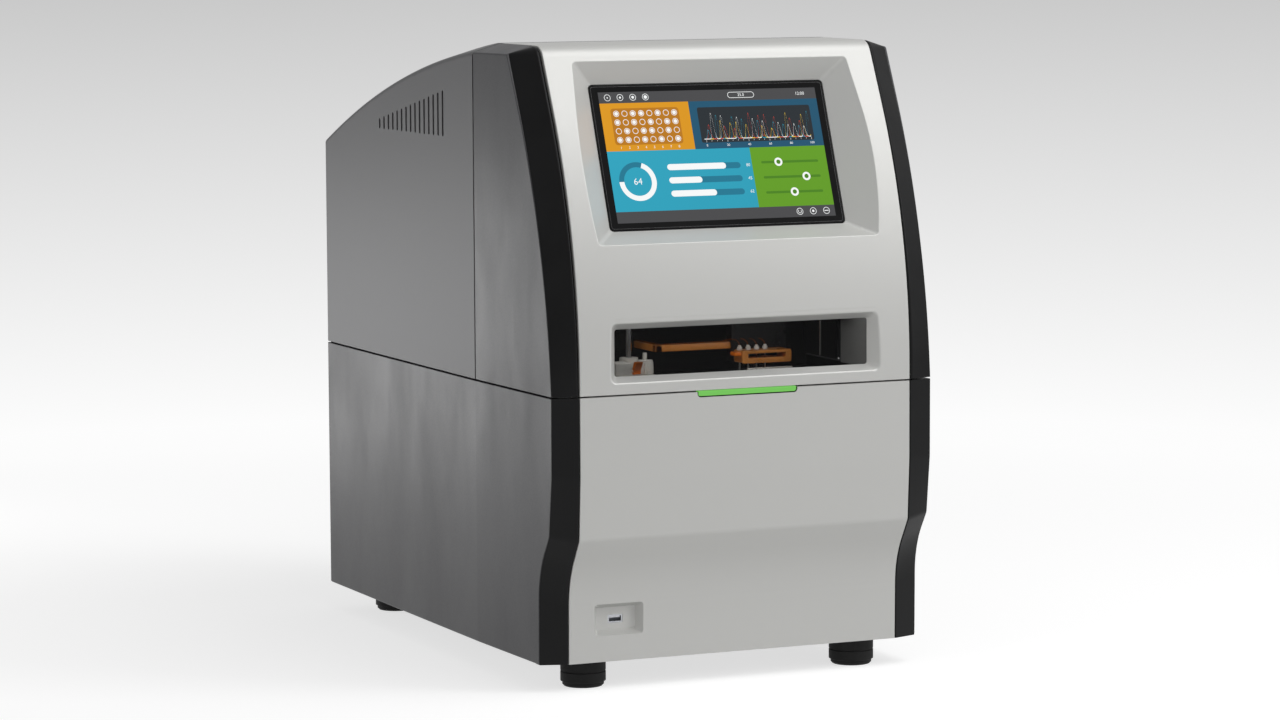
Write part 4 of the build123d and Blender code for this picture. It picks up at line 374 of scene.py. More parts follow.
class Board:
    """A material's node tree, with short calls for what the finishes share."""

    def __init__(self, name: str) -> None:
        """Starts a material with a Principled surface.

        Args:
            name: the material's name.
        """
        self.material = bpy.data.materials.new(name)
        self.material.use_nodes = True
        self.tree = self.material.node_tree
        self.tree.nodes.clear()
        self.surface = self.tree.nodes.new("ShaderNodeBsdfPrincipled")
        self.output = self.tree.nodes.new("ShaderNodeOutputMaterial")
        self.join(self.surface.outputs["BSDF"], self.output.inputs["Surface"])

    def add(self, kind: str, **inputs: object) -> bpy.types.Node:
        """A node with its inputs set, or linked where the value is a socket."""
        node = self.tree.nodes.new(kind)
        for key, value in inputs.items():
            self.feed(node.inputs[key.replace("_", " ")], value)
        return node

    def feed(self, socket: bpy.types.NodeSocket, value: object) -> None:
        """Links a socket, or sets its value."""
        if isinstance(value, bpy.types.NodeSocket):
            self.join(value, socket)
        else:
            socket.default_value = value

    def join(self, start: bpy.types.NodeSocket, end: bpy.types.NodeSocket) -> None:
        """Links two sockets."""
        self.tree.links.new(start, end)

    def place(self, stretch: Sequence[float] = (1, 1, 1)) -> bpy.types.NodeSocket:
        """Object coordinates, stretched by a Mapping node."""
        coords = self.tree.nodes.new("ShaderNodeTexCoord")
        mapping = self.add("ShaderNodeMapping", Vector=coords.outputs["Object"])
        mapping.inputs["Scale"].default_value = stretch
        return mapping.outputs["Vector"]

    def noise(
        self, scale: float, detail: float = 2.0, stretch: Sequence[float] = (1, 1, 1), rough: float = 0.5
    ) -> bpy.types.NodeSocket:
        """Noise at a scale per metre."""
        spot = self.place(stretch)
        node = self.add("ShaderNodeTexNoise", Vector=spot, Scale=scale, Detail=detail, Roughness=rough)
        return node.outputs["Fac"]

    def cells(self, scale: float) -> bpy.types.NodeSocket:
        """A random value per cell, at a scale per metre."""
        node = self.add("ShaderNodeTexVoronoi", Vector=self.place(), Scale=scale)
        split = self.tree.nodes.new("ShaderNodeSeparateColor")
        self.join(node.outputs["Color"], split.inputs["Color"])
        return split.outputs["Red"]

    def spread(
        self, value: object, low: float, high: float, start: float = 0.0, end: float = 1.0
    ) -> bpy.types.NodeSocket:
        """A value mapped from start..end to low..high, held at both ends."""
        node = self.add("ShaderNodeMapRange", Value=value)
        node.inputs["From Min"].default_value = start
        node.inputs["From Max"].default_value = end
        node.inputs["To Min"].default_value = low
        node.inputs["To Max"].default_value = high
        return node.outputs["Result"]

    def mixed(self, factor: object, low: object, high: object) -> bpy.types.NodeSocket:
        """A colour between two, each a colour or a socket."""
        node = self.tree.nodes.new("ShaderNodeMix")
        node.data_type = "RGBA"
        for socket, value in ((node.inputs[0], factor), (node.inputs[6], low), (node.inputs[7], high)):
            self.feed(socket, (*value, 1.0) if isinstance(value, tuple) else value)
        return node.outputs[2]

    def sum(self, first: object, second: object, kind: str = "ADD") -> bpy.types.NodeSocket:
        """Two values through a Math node."""
        node = self.tree.nodes.new("ShaderNodeMath")
        node.operation = kind
        self.feed(node.inputs[0], first)
        self.feed(node.inputs[1], second)
        return node.outputs[0]

    def bump(self, height: bpy.types.NodeSocket, depth: float, strength: float = 1.0) -> None:
        """Relief on the surface, depth being its full height in metres."""
        node = self.add("ShaderNodeBump", Height=height, Strength=strength, Distance=depth)
        previous = self.surface.inputs["Normal"]
        if previous.is_linked:
            self.join(previous.links[0].from_socket, node.inputs["Normal"])
        self.join(node.outputs["Normal"], previous)

    def soften(self, radius: float) -> bpy.types.NodeSocket:
        """Rounds the shading of sharp edges over a radius in metres.

        Args:
            radius: how far from an edge the rounding reaches.

        Returns:
            A mask that is 0 on flat ground and grows to 1 on an edge: one less the
            dot product of the rounded and the true normal, scaled up.
        """
        bevel = self.add("ShaderNodeBevel", Radius=radius)
        bevel.samples = 6
        normal = self.surface.inputs["Normal"]
        self.join(bevel.outputs["Normal"], normal)
        ground = self.tree.nodes.new("ShaderNodeNewGeometry")
        dot = self.add("ShaderNodeVectorMath")
        dot.operation = "DOT_PRODUCT"
        self.join(bevel.outputs["Normal"], dot.inputs[0])
        self.join(ground.outputs["Normal"], dot.inputs[1])
        return self.spread(dot.outputs["Value"], 1.0, 0.0, 0.8, 1.0)

    def inside(self, kind: Inner) -> bpy.types.NodeSocket:
        """A mask of the faces coloured near black: painted shade on inner faces, and the header's hanger in
        its own black.

        Args:
            kind: SIDES takes faces that look towards the middle, where x times the
                normal's x is negative; REAR takes faces that look backwards; HANGER
                takes what stands above or behind the header's frame, in metres.

        Returns:
            1 on the near black faces, 0 elsewhere.
        """
        split = self.add("ShaderNodeSeparateXYZ", Vector=self.place())
        if kind is Inner.HANGER:
            above = self.sum(split.outputs["Z"], HANGER_FOOT, "GREATER_THAN")
            behind = self.sum(split.outputs["Y"], HANGER_FACE, "GREATER_THAN")
            return self.sum(above, behind, "MAXIMUM")
        coords = self.tree.nodes.new("ShaderNodeTexCoord")
        normal = self.add("ShaderNodeSeparateXYZ", Vector=coords.outputs["Normal"])
        if kind is Inner.REAR:
            return self.sum(normal.outputs["Y"], 0.5, "GREATER_THAN")
        return self.sum(self.sum(split.outputs["X"], normal.outputs["X"], "MULTIPLY"), -0.08, "LESS_THAN")

    def worn(
        self, base: object, edge: bpy.types.NodeSocket, tone: Colour, amount: float
    ) -> bpy.types.NodeSocket:
        """A colour that turns to a paler one on edges, broken up by noise: edge wear and painted highlight.
        """
        patch = self.spread(self.noise(160.0, 3.0), 0.25, 1.0, 0.35, 0.6)
        share = self.sum(self.sum(edge, patch, "MULTIPLY"), amount, "MULTIPLY")
        return self.mixed(share, base, tone)

    def shade(self, **values: object) -> None:
        """Sets or links inputs of the surface, with underscores for spaces."""
        for key, value in values.items():
            if isinstance(value, tuple) and len(value) == 3:
                value = (*value, 1.0)
            self.feed(self.surface.inputs[key.replace("_", " ")], value)


@dataclass(frozen=True)
class Finish:
    """What every finish has: a name and a colour as linear values."""

    name: str
    colour: Colour

    def material(self) -> bpy.types.Material:
        """The finish's material, made on first use."""
        ready = bpy.data.materials.get(self.name)
        if ready is not None:
            return ready
        board = Board(self.name)
        self.dress(board)
        return board.material

    def dress(self, board: Board) -> None:
        """Fills the node tree; each kind of finish has its own."""
        raise NotImplementedError

    def toned(self, factor: float) -> Colour:
        """The colour made lighter or darker by a factor."""
        return tuple(min(1.0, c * factor) for c in self.colour)


@dataclass(frozen=True)
class Paint(Finish):
    """Sprayed paint: flakes, faint clouding, orange peel, uneven gloss, and edges paler from wear and painted
    highlight.
    """

    roughness: float = 0.42
    metallic: float = 0.0
    specular: float = 0.5
    flake: float = 0.16
    flake_scale: float = 1500.0
    peel: float = 0.00004
    peel_scale: float = 900.0
    cloud: float = 0.05
    edge: float = 0.0006
    wear: float = 0.3
    inner: Inner = Inner.NONE

    def dress(self, board: Board) -> None:
        """Flake cells shift the colour, low noise clouds it, fine noise gives relief."""
        rim = board.soften(self.edge)
        cloud = board.spread(board.noise(6.0, 3.0), 1 - self.cloud, 1 + self.cloud, 0.3, 0.7)
        fleck = board.spread(board.cells(self.flake_scale), 1 - self.flake, 1 + self.flake)
        swing = self.flake * 0.6
        fine = board.spread(board.noise(self.flake_scale * 1.7, 2.0), 1 - swing, 1 + swing, 0.3, 0.7)
        factor = board.sum(board.sum(cloud, fleck, "MULTIPLY"), fine, "MULTIPLY")
        share = board.spread(factor, 0.0, 1.0, 0.5, 1.5)
        base = board.mixed(share, self.toned(0.5), self.toned(1.5))
        smear = board.noise(14.0, 5.0, (1.0, 1.0, 0.4), 0.6)
        rough = board.spread(smear, self.roughness - 0.05, self.roughness + 0.06, 0.3, 0.7)
        # Paler edges: rubbed wear and painted highlight.
        base = board.worn(base, rim, self.toned(1.9), self.wear)
        metallic = self.metallic
        # Inner faces turn near black and lose their metallic: painted shade on the inside.
        if self.inner is not Inner.NONE:
            inner_shade = board.inside(self.inner)
            base = board.mixed(inner_shade, base, SHADE_AND_HANGER_BLACK)
            if metallic > 0:
                metallic = board.spread(inner_shade, metallic, 0.0)
        board.shade(Base_Color=base, Metallic=metallic, Roughness=rough, Specular_IOR_Level=self.specular)
        board.bump(board.noise(self.peel_scale, 3.0), self.peel)


@dataclass(frozen=True)
class Moulding(Finish):
    """Moulded plastic or rubber with a spark-eroded grain, and edges paler from wear and painted highlight.
    """

    roughness: float = 0.5
    grain: float = 0.00005
    grain_scale: float = 1400.0
    specular: float = 0.5
    edge: float = 0.0005
    wear: float = 0.25
    inner: Inner = Inner.NONE

    def dress(self, board: Board) -> None:
        """Two noises make the grain, and a broad one varies colour and gloss as handling does."""
        rim = board.soften(self.edge)
        broad = board.noise(22.0, 4.0, rough=0.6)
        speck = board.noise(self.grain_scale * 0.6, 2.0)
        tone = board.sum(board.spread(broad, 0.0, 0.6, 0.35, 0.65), board.spread(speck, 0.0, 0.4, 0.35, 0.65))
        base = board.mixed(tone, self.toned(0.84), self.toned(1.2))
        rough = board.spread(broad, self.roughness - 0.06, self.roughness + 0.08, 0.3, 0.7)
        # Paler edges: wear and painted highlight.
        base = board.worn(base, rim, self.toned(1.8), self.wear)
        # Faces picked by the mask turn near black: the hanger's own black on the header, painted shade on
        # inner faces.
        if self.inner is not Inner.NONE:
            base = board.mixed(board.inside(self.inner), base, SHADE_AND_HANGER_BLACK)
        board.shade(Base_Color=base, Roughness=rough, Specular_IOR_Level=self.specular)
        if self.grain > 0:
            board.bump(board.noise(self.grain_scale, 2.0), self.grain)


@dataclass(frozen=True)
class Metal(Finish):
    """Bare or plated metal, brushed along one direction."""

    roughness: float = 0.3
    brush: tuple[float, float, float] = (1.0, 1.0, 1.0)
    scale: float = 700.0
    mottle: float = 0.12
    edge: float = 0.0004

    def dress(self, board: Board) -> None:
        """Stretched noise gives the brushing, and a broad one the uneven plating."""
        rim = board.soften(self.edge)
        lines = board.noise(self.scale, 3.0, self.brush)
        broad = board.noise(18.0, 4.0)
        tone = board.sum(board.spread(broad, 0.0, 0.6, 0.3, 0.7), board.spread(lines, 0.0, 0.4, 0.3, 0.7))
        base = board.mixed(tone, self.toned(1 - self.mottle), self.toned(1 + self.mottle))
        rough = board.spread(lines, self.roughness - 0.07, self.roughness + 0.1, 0.3, 0.7)
        # Edges paler: wear and painted highlight.
        board.shade(Base_Color=board.worn(base, rim, self.toned(1.3), 0.5), Metallic=1.0, Roughness=rough)
        board.bump(lines, 0.00001)


@dataclass(frozen=True)
class Clear(Finish):
    """Clear or smoked plastic, seen through by its alpha."""

    roughness: float = 0.06
    alpha: float = 0.4
    specular: float = 0.5

    def dress(self, board: Board) -> None:
        """Faint clouding in gloss and colour, and a fixed alpha."""
        haze = board.noise(30.0, 4.0)
        rough = board.spread(haze, self.roughness, self.roughness + 0.06, 0.4, 0.7)
        base = board.mixed(board.spread(haze, 0.0, 1.0, 0.3, 0.7), self.toned(0.85), self.toned(1.15))
        board.shade(Base_Color=base, Roughness=rough, Alpha=self.alpha, Specular_IOR_Level=self.specular)


@dataclass(frozen=True)
class Glow(Finish):
    """A lit surface behind a glossy cover."""

    strength: float = 1.0
    roughness: float = 0.08
    fade: float = 0.0
    direction: tuple[float, float, float] = (0.0, 0.0, 1.0)
    middle: float = 0.0

    def dress(self, board: Board) -> None:
        """The glow fades along one direction of the object by the fade per metre."""
        dot = board.add("ShaderNodeVectorMath")
        dot.operation = "DOT_PRODUCT"
        board.join(board.place(), dot.inputs[0])
        dot.inputs[1].default_value = self.direction
        run = board.sum(dot.outputs["Value"], -self.middle)
        share = board.spread(run, 0.0, 1.0, -1.0, 1.0)
        lit = board.mixed(share, self.toned(1 - self.fade), self.toned(1 + self.fade))
        board.shade(Base_Color=self.toned(0.12), Roughness=self.roughness)
        board.shade(Emission_Color=lit, Emission_Strength=self.strength)


def grey(name: str, inner: Inner = Inner.NONE) -> Paint:
    """The dark grey paint of the casing, with inner faces near black as painted shade where asked."""
    return Paint(
        name, srgb(66, 66, 69), roughness=0.36, specular=0.3, flake=0.12, flake_scale=1000.0,
        peel=0.00005, inner=inner,
    )


class Use(Enum):
    """Every finish on the machine."""

    # Its backward-looking faces are near black: painted shade inside the door shell.
    SILVER = Paint(
        "silver_paint", srgb(172, 172, 167), roughness=0.42, metallic=0.6, flake=0.34, flake_scale=900.0,
        wear=0.5, inner=Inner.REAR,
    )
    GREY = grey("grey_paint")
    # Its inward-looking faces are near black: painted shade inside the casing.
    SIDE_GREY = grey("grey_side_paint", Inner.SIDES)
    REAR_GREY = Paint("rear_grey_powder", srgb(98, 99, 102), roughness=0.55, flake=0.1, peel=0.00012)
    BLACK_SHEET = Paint("black_powder", srgb(34, 34, 36), roughness=0.5, flake=0.1, peel=0.0001)
    STRIP = Moulding("satin_black_strip", srgb(15, 15, 16), roughness=0.34, grain=0.00003, specular=0.18)
    BLACK = Moulding("black_moulding", srgb(26, 26, 27), roughness=0.5)
    # Black foam of the vent filters, also used as painted shade in the light bar's gap.
    FOAM = Moulding(
        "black_foam_and_gap_shade", srgb(14, 14, 15), roughness=0.9, grain=0.0006, grain_scale=900.0, specular=0.1
    )
    RUBBER = Moulding(
        "black_rubber", srgb(22, 22, 22), roughness=0.7, grain=0.00008, grain_scale=800.0, specular=0.3
    )
    MID_GREY = Moulding("mid_grey_moulding", srgb(118, 120, 123), roughness=0.48)
    WHITE = Moulding("off_white_moulding", srgb(222, 220, 212), roughness=0.4)
    HEADER = Moulding("amber_header", srgb(214, 140, 70), roughness=0.28, inner=Inner.HANGER)
    AMBER = Moulding("amber_moulding", srgb(208, 132, 58), roughness=0.28)
    BROWN = Moulding("brown_glass_line", srgb(120, 66, 24), roughness=0.15, grain=0.0)
    ORANGE = Moulding("orange_moulding", srgb(236, 120, 16), roughness=0.3)
    BOARD = Moulding("circuit_green", srgb(22, 84, 48), roughness=0.35)
    ALUMINIUM = Metal("brushed_aluminium", srgb(196, 197, 199), roughness=0.34, brush=(1.0, 12.0, 12.0))
    STEEL = Metal("ground_steel", srgb(206, 206, 208), roughness=0.2, brush=(1.0, 8.0, 8.0))
    ZINC = Metal("zinc_plate", srgb(184, 186, 190), roughness=0.32, mottle=0.18)
    BLACK_SCREW = Paint("black_zinc_screw", srgb(40, 40, 42), roughness=0.32, metallic=0.7, flake=0.1)
    BLACK_STEEL = Paint("black_enamel", srgb(22, 22, 23), roughness=0.2, flake=0.04, wear=0.1)
    PANE = Clear("smoked_pane", srgb(4, 4, 5), roughness=0.03, alpha=0.42, specular=0.12)
    CLEAR = Clear("clear_container", srgb(208, 214, 216), roughness=0.12, alpha=0.38)
    GLASS = Moulding(
        "black_screen_glass", srgb(7, 7, 8), roughness=0.05, grain=0.0, specular=0.25, wear=0.0, edge=0.0012
    )
    GLASS_RIM = Moulding("screen_glass_rim", srgb(58, 58, 60), roughness=0.3, grain=0.0)
    GREEN_LIGHT = Glow("green_status_light", srgb(112, 196, 84), strength=0.85, roughness=0.3)


def dress_frame(nodes: dict[str, bpy.types.Object]) -> None:
    """Gives every CAD node its finish.

    Args:
        nodes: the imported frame's nodes by name.
    """
    finishes: dict[Use, tuple[str, ...]] = {
        Use.SILVER: ("door_front_shell", "lower_front_panel"),
        Use.GREY: ("upper_rear_cover",),
        Use.SIDE_GREY: ("lower_side_panel", "door_side_panel"),
        Use.STRIP: ("lower_corner_strip", "door_corner_strip"),
        Use.REAR_GREY: ("rear_panel", "base_pan"),
        Use.BLACK_SHEET: ("compartment_bulkhead", "deck_plate"),
        Use.RUBBER: ("feet",),
        Use.GLASS: ("touch_glass",),
        Use.PANE: ("window_pane",),
        Use.GREEN_LIGHT: ("status_light_bar",),
        Use.STEEL: (
            "rear_fan_guard", "sampler_rails", "door_hinge_pins", "strut_studs", "strut_rod",
            "capillary_tips", "pump_plunger",
        ),
        Use.ZINC: (
            "front_usb_socket", "power_supply", "laser_module", "door_hinge_brackets",
            "strut_door_brackets",
        ),
        Use.ALUMINIUM: (
            "door_hinge_arms", "sampler_frame", "sampler_cross_stage", "sampler_fore_stage",
            "sampler_lift",
        ),
        Use.BLACK_STEEL: ("strut_cylinder",),
        Use.MID_GREY: ("oven_cover", "sample_tray"),
        Use.WHITE: (
            "pump_block", "polymer_cartridge", "sample_strips", "cathode_buffer_container", "valve_knob"
        ),
        Use.CLEAR: ("anode_buffer_container",),
        Use.HEADER: ("capillary_header",),
        Use.ORANGE: ("lock_lever",),
        Use.BOARD: ("control_board",),
    }
    for name, node in nodes.items():
        stem = name.removesuffix("_left").removesuffix("_right")
        use = next((u for u, stems in finishes.items() if stem in stems), Use.BLACK)
        node.data.materials.clear()
        node.data.materials.append(use.value.material())
        LOG.info("%s takes %s", name, use.value.name)


# Fittings


FACING_REAR = (-1.0, 0.0, 0.0)
DOWNWARD = (0.0, -1.0, 0.0)
SIDES = (-1, 1)


def fit(name: str, shapes: Sequence[Shape], use: Use, body: Body = Body.CHASSIS) -> None:
    """A piece of one finish, made from several shapes."""
    piece(name, joined(shapes), [use.value], body)


def rear_place(x: float, depth: float, z: float) -> Place:
    """A place that looks backwards."""
    return Place((x, depth, z), FACING_REAR)


def under_place(x: float, depth: float, z: float) -> Place:
    """A place that looks down."""
    return Place((x, depth, z), up=DOWNWARD)


def top_place(x: float, depth: float, z: float) -> Place:
    """A place that looks up."""
    return Place((x, depth, z), up=(0.0, 1.0, 0.0))


@dataclass
class CasingFittings:
    """Filters behind the vents, the screws of the rear and the base, and a black ring of painted shade in the
    light bar's gap.
    """

    filter_side: float = 194.8
    filter_depths: tuple[float, float] = (254.0, 446.0)
    filter_low: float = 503.0
    filter_tops: tuple[float, float] = (560.0, 531.0)
    outlet: tuple[float, float] = (-90.0, 330.0)
    panel: float = 597.0
    screw_x: float = 187.5
    screw_levels: tuple[float, ...] = (40.0, 160.0, 290.0, 400.0, 474.0)
    top_screws: tuple[float, ...] = (-80.0, 80.0)
    top_level: float = 485.0
    fan: tuple[float, float] = (70.0, 400.0)
    fan_pitch: float = 105.0
    base: float = 27.0
    base_x: float = 176.0
    base_depths: tuple[float, ...] = (90.0, 240.0, 400.0, 530.0)
    bar_half: float = 50.5
    bar_low: float = 275.3
    bar_top: float = 280.0
    bar_depth: float = 3.6
    bar_cut: float = -0.75

    def filters(self) -> None:
        """Foam sheets close the side vents and the outlet louvres from inside."""
        near, far = self.filter_depths
        low, (near_top, far_top) = self.filter_low, self.filter_tops
        outline = np.array([(near, low), (far, low), (far, far_top), (near, near_top)])
        sheet = layered([(outline, 0), (outline, 1.8)], Place((self.filter_side, 0.0, 0.0), (0.0, 1.0, 0.0)))
        outlet = plate(104, 108, 1.6, 3, rear_place(self.outlet[0], self.panel - 4.8, self.outlet[1]))
        fit("vent_filters", [both(sheet), outlet], Use.FOAM)

    def screws(self) -> None:
        """Black screws round the rear panel, bright ones on the fan and the base."""
        spots = [(side * self.screw_x, z) for side in SIDES for z in self.screw_levels]
        spots += [(x, self.top_level) for x in self.top_screws]
        heads = [screw(rear_place(x, self.panel, z), 3.2, Head.PAN) for x, z in spots]
        fit("rear_panel_screws", heads, Use.BLACK_SCREW)
        half = self.fan_pitch / 2
        corners = [(self.fan[0] + i * half, self.fan[1] + j * half) for i in SIDES for j in SIDES]
        heads = [screw(rear_place(x, self.panel + 2, z), 3.0, Head.FLAT) for x, z in corners]
        fit("fan_screws", heads, Use.STEEL)
        spots = [(side * self.base_x, depth) for side in SIDES for depth in self.base_depths]
        heads = [screw(under_place(*spot, self.base), 3.0, Head.PAN) for spot in spots]
        fit("base_screws", heads, Use.ZINC)

    def gasket(self) -> None:
        """A thin black ring round the status light bar, a little behind its face: painted shade in the gap
        round the bar.
        """
        wide, tall = 2 * self.bar_half, 2 * (self.bar_top - self.bar_low)
        outer = rounded(wide + 2, tall + 2, 2.3)
        inner = rounded(wide + 0.1, tall + 0.1, 1.4)
        outer[:, 1] = outer[:, 1].clip(max=self.bar_cut)
        inner[:, 1] = inner[:, 1].clip(max=self.bar_cut)
        place = Place((0.0, self.bar_depth, self.bar_top))
        # The ring is painted shade in the gap round the bar.
        fit("light_bar_gap_shade", [ring(outer, inner, 3.0, place)], Use.FOAM)

    def build(self) -> None:
        """Makes the casing's fittings."""
        self.filters()
        self.screws()
        self.gasket()


@dataclass
class DoorFittings:
    """What is fixed to the door: the glass's rim line, the liner's and the arms' screws."""

    middle: float = 495.4
    depth: float = 64.815
    back: float = 34.0
    glass_size: tuple[float, float] = (244.0, 143.5)
    rim_inset: float = 2.0
    screw_x: float = 151.0
    screw_levels: tuple[float, ...] = (396.0, 470.0, 545.0)
    flange: tuple[float, float] = (153.0, 592.0)
    flange_depths: tuple[float, ...] = (120.0, 142.0)

    def plane(self, x: float, z: float, behind: float, rearward: bool = False) -> Place:
        """A place parallel to the glass, behind it by a distance square to it."""
        depth = self.depth + (z - self.middle) * math.tan(GLASS_LEAN) + behind / math.cos(GLASS_LEAN)
        right = (-1.0, 0.0, 0.0) if rearward else (1.0, 0.0, 0.0)
        return Place((x, depth, z), right, (0.0, math.sin(GLASS_LEAN), math.cos(GLASS_LEAN)))

    def rim(self) -> None:
        """A thin grey line on the glass, near its edge."""
        wide, tall = (size - 2 * self.rim_inset for size in self.glass_size)
        outer = rounded(wide, tall, 2.6, 8)
        inner = rounded(wide - 0.9, tall - 0.9, 2.2, 8)
        line = ring(outer, inner, 0.05, self.plane(0.0, self.middle, 0.0))
        fit("glass_rim", [line], Use.GLASS_RIM, Body.DOOR)

    def screws(self) -> None:
        """Screws hold the liner's back and, from below, the feet of the hinge arms."""
        spots = [(side * self.screw_x, z) for side in SIDES for z in self.screw_levels]
        heads = [screw(self.plane(x, z, self.back, True), 3.0, Head.PAN) for x, z in spots]
        fit("liner_screws", heads, Use.BLACK_SCREW, Body.DOOR)
        x, z = self.flange
        heads = [screw(under_place(x, depth, z), 3.2) for depth in self.flange_depths]
        fit("arm_screws", [both(joined(heads))], Use.BLACK_SCREW, Body.DOOR)

    def build(self) -> None:
        """Makes the door's fittings."""
        self.rim()
        self.screws()


@dataclass
class CapillaryFittings:
    """Round the header: ferrules, the array's bar with its four lines, the latch and a probe."""

    tips: tuple[float, ...] = (48.5, 57.5, 66.5, 75.5)
    header_depth: float = 120.0
    header_top: float = 303.0
    bar_level: float = 304.0
    bar_ends: tuple[float, float] = (-36.0, 44.0)
    bar_depths: tuple[float, float] = (130.0, 137.0)
    line_radius: float = 0.45
    latch_x: float = 42.6
    probe: tuple[float, float] = (131.0, 112.0)
    oven_low: float = 336.0

    def ferrules(self) -> None:
        """A small nut round each tip on top of the header."""
        profile = [(2.5, 0.0), (2.5, 2.6), (2.1, 3.0), (1.5, 3.0), (1.5, 4.4), (1.05, 4.6)]
        level = self.header_top + 0.02
        nuts = [turned(profile, top_place(x, self.header_depth, level), 12) for x in self.tips]
        fit("capillary_ferrules", nuts, Use.WHITE)

    def bar(self) -> None:
        """An amber bar from the header to the detection unit, with an arm at its left end."""
        left, right = self.bar_ends
        near, far = self.bar_depths
        middle = top_place((left + right) / 2, (near + far) / 2, self.bar_level)
        run = plate(right - left, far - near, 6.0, 1.2, middle, 0, 0.6)
        arm = plate(8.0, 52.0, 6.0, 1.2, top_place(left + 4.0, near + 26.0, self.bar_level), 0, 0.6)
        fit("array_bar", [run, arm], Use.AMBER)

    def lines(self) -> None:
        """Four fine lines side by side on the bar, from the ferrules round to the detection unit."""
        tubes = []
        for number, x in enumerate(self.tips):
            back = self.bar_depths[0] + 1.4 + 1.3 * number
            left = self.bar_ends[0] + 6.2 - 1.3 * number
            level = self.bar_level + 6.6
            foot, top = self.header_depth, self.header_top
            path = [(x, foot, top + 3.0), (x, foot, top + 11.0)]
            path += [(x - 3, back, level + 4), (x - 14, back, level)]
            run = [(x - 16, back, level), (left + 4, back, level)]
            bend = [(left + 3, back, level), (left, back, level), (left, back + 3, level)]
            end = [(left, back + 5, level), (left, 184.0, level)]
            parts = [bezier(path, 14), np.linspace(*run, 8), bezier(bend, 6), np.linspace(*end, 8)]
            tubes.append(tube(np.concatenate(parts), self.line_radius, 8))
        fit("capillary_lines", tubes, Use.BROWN)

    def latch(self) -> None:
        """A small orange tab beside the header and a steel probe below the oven."""
        spot = top_place(self.latch_x, self.header_depth - 4, self.header_top - 4.6)
        fit("header_latch", [plate(7.0, 12.0, 3.4, 1.4, spot, 0, 0.8)], Use.ORANGE)
        profile = [(3.2, 0.0), (3.2, 5.0), (1.4, 6.0), (1.0, 7.0), (1.0, 40.0), (0.5, 41.5)]
        probe = turned(profile, under_place(*self.probe, self.oven_low - 0.02), 16)
        fit("oven_probe", [probe], Use.STEEL)

    def build(self) -> None:
        """Makes the fittings round the header."""
        self.ferrules()
        self.bar()
        self.lines()
        self.latch()


@dataclass
class SamplerFittings:
    """On the tray and its drive: the buffer container's front septa and the screw's thread."""

    septa_x: tuple[float, float] = (50.5, 97.5)
    septa_depths: tuple[float, float] = (103.6, 107.6)
    septa_low: float = 281.0
    septa_tall: float = 5.6
    slots: int = 9
    screw_x: tuple[float, float] = (-90.0, 158.0)
    screw_depth: float = 137.0
    screw_level: float = 130.0
    screw_radius: float = 3.0
    pitch: float = 5.0

    def septa(self) -> None:
        """A pale strip on the front edge of the container, with a row of dark slots in its face."""
        left, right = self.septa_x
        near, far = self.septa_depths
        middle = top_place((left + right) / 2, (near + far) / 2, self.septa_low + 0.02)
        strip = plate(right - left, far - near, self.septa_tall, 1.0, middle, 0, 0.5)
        pitch = (right - left) / self.slots
        level = self.septa_low + self.septa_tall - 1.7
        spots = [Place((left + (n + 0.5) * pitch, near, level)) for n in range(self.slots)]
        marks = [plate(pitch * 0.6, 1.0, 0.12, 0.4, spot, 1) for spot in spots]
        finishes = [Use.WHITE.value, Use.RUBBER.value]
        piece("cathode_septa", joined([strip, *marks]), finishes, Body.LIFT)

    def thread(self) -> None:
        """A helix round the lead screw: a circle in depth and height, x rising by the pitch each turn."""
        start, end = self.screw_x
        turns = (end - start) / self.pitch
        turn = np.linspace(0, 2 * np.pi * turns, int(turns * 14))
        x = start + (end - start) * turn / turn[-1]
        depth = self.screw_depth + self.screw_radius * np.cos(turn)
        level = self.screw_level + self.screw_radius * np.sin(turn)
        fit("screw_thread", [tube(np.stack([x, depth, level], -1), 0.45, 6)], Use.STEEL)

    def build(self) -> None:
        """Makes the sampler's fittings."""
        self.septa()
        self.thread()


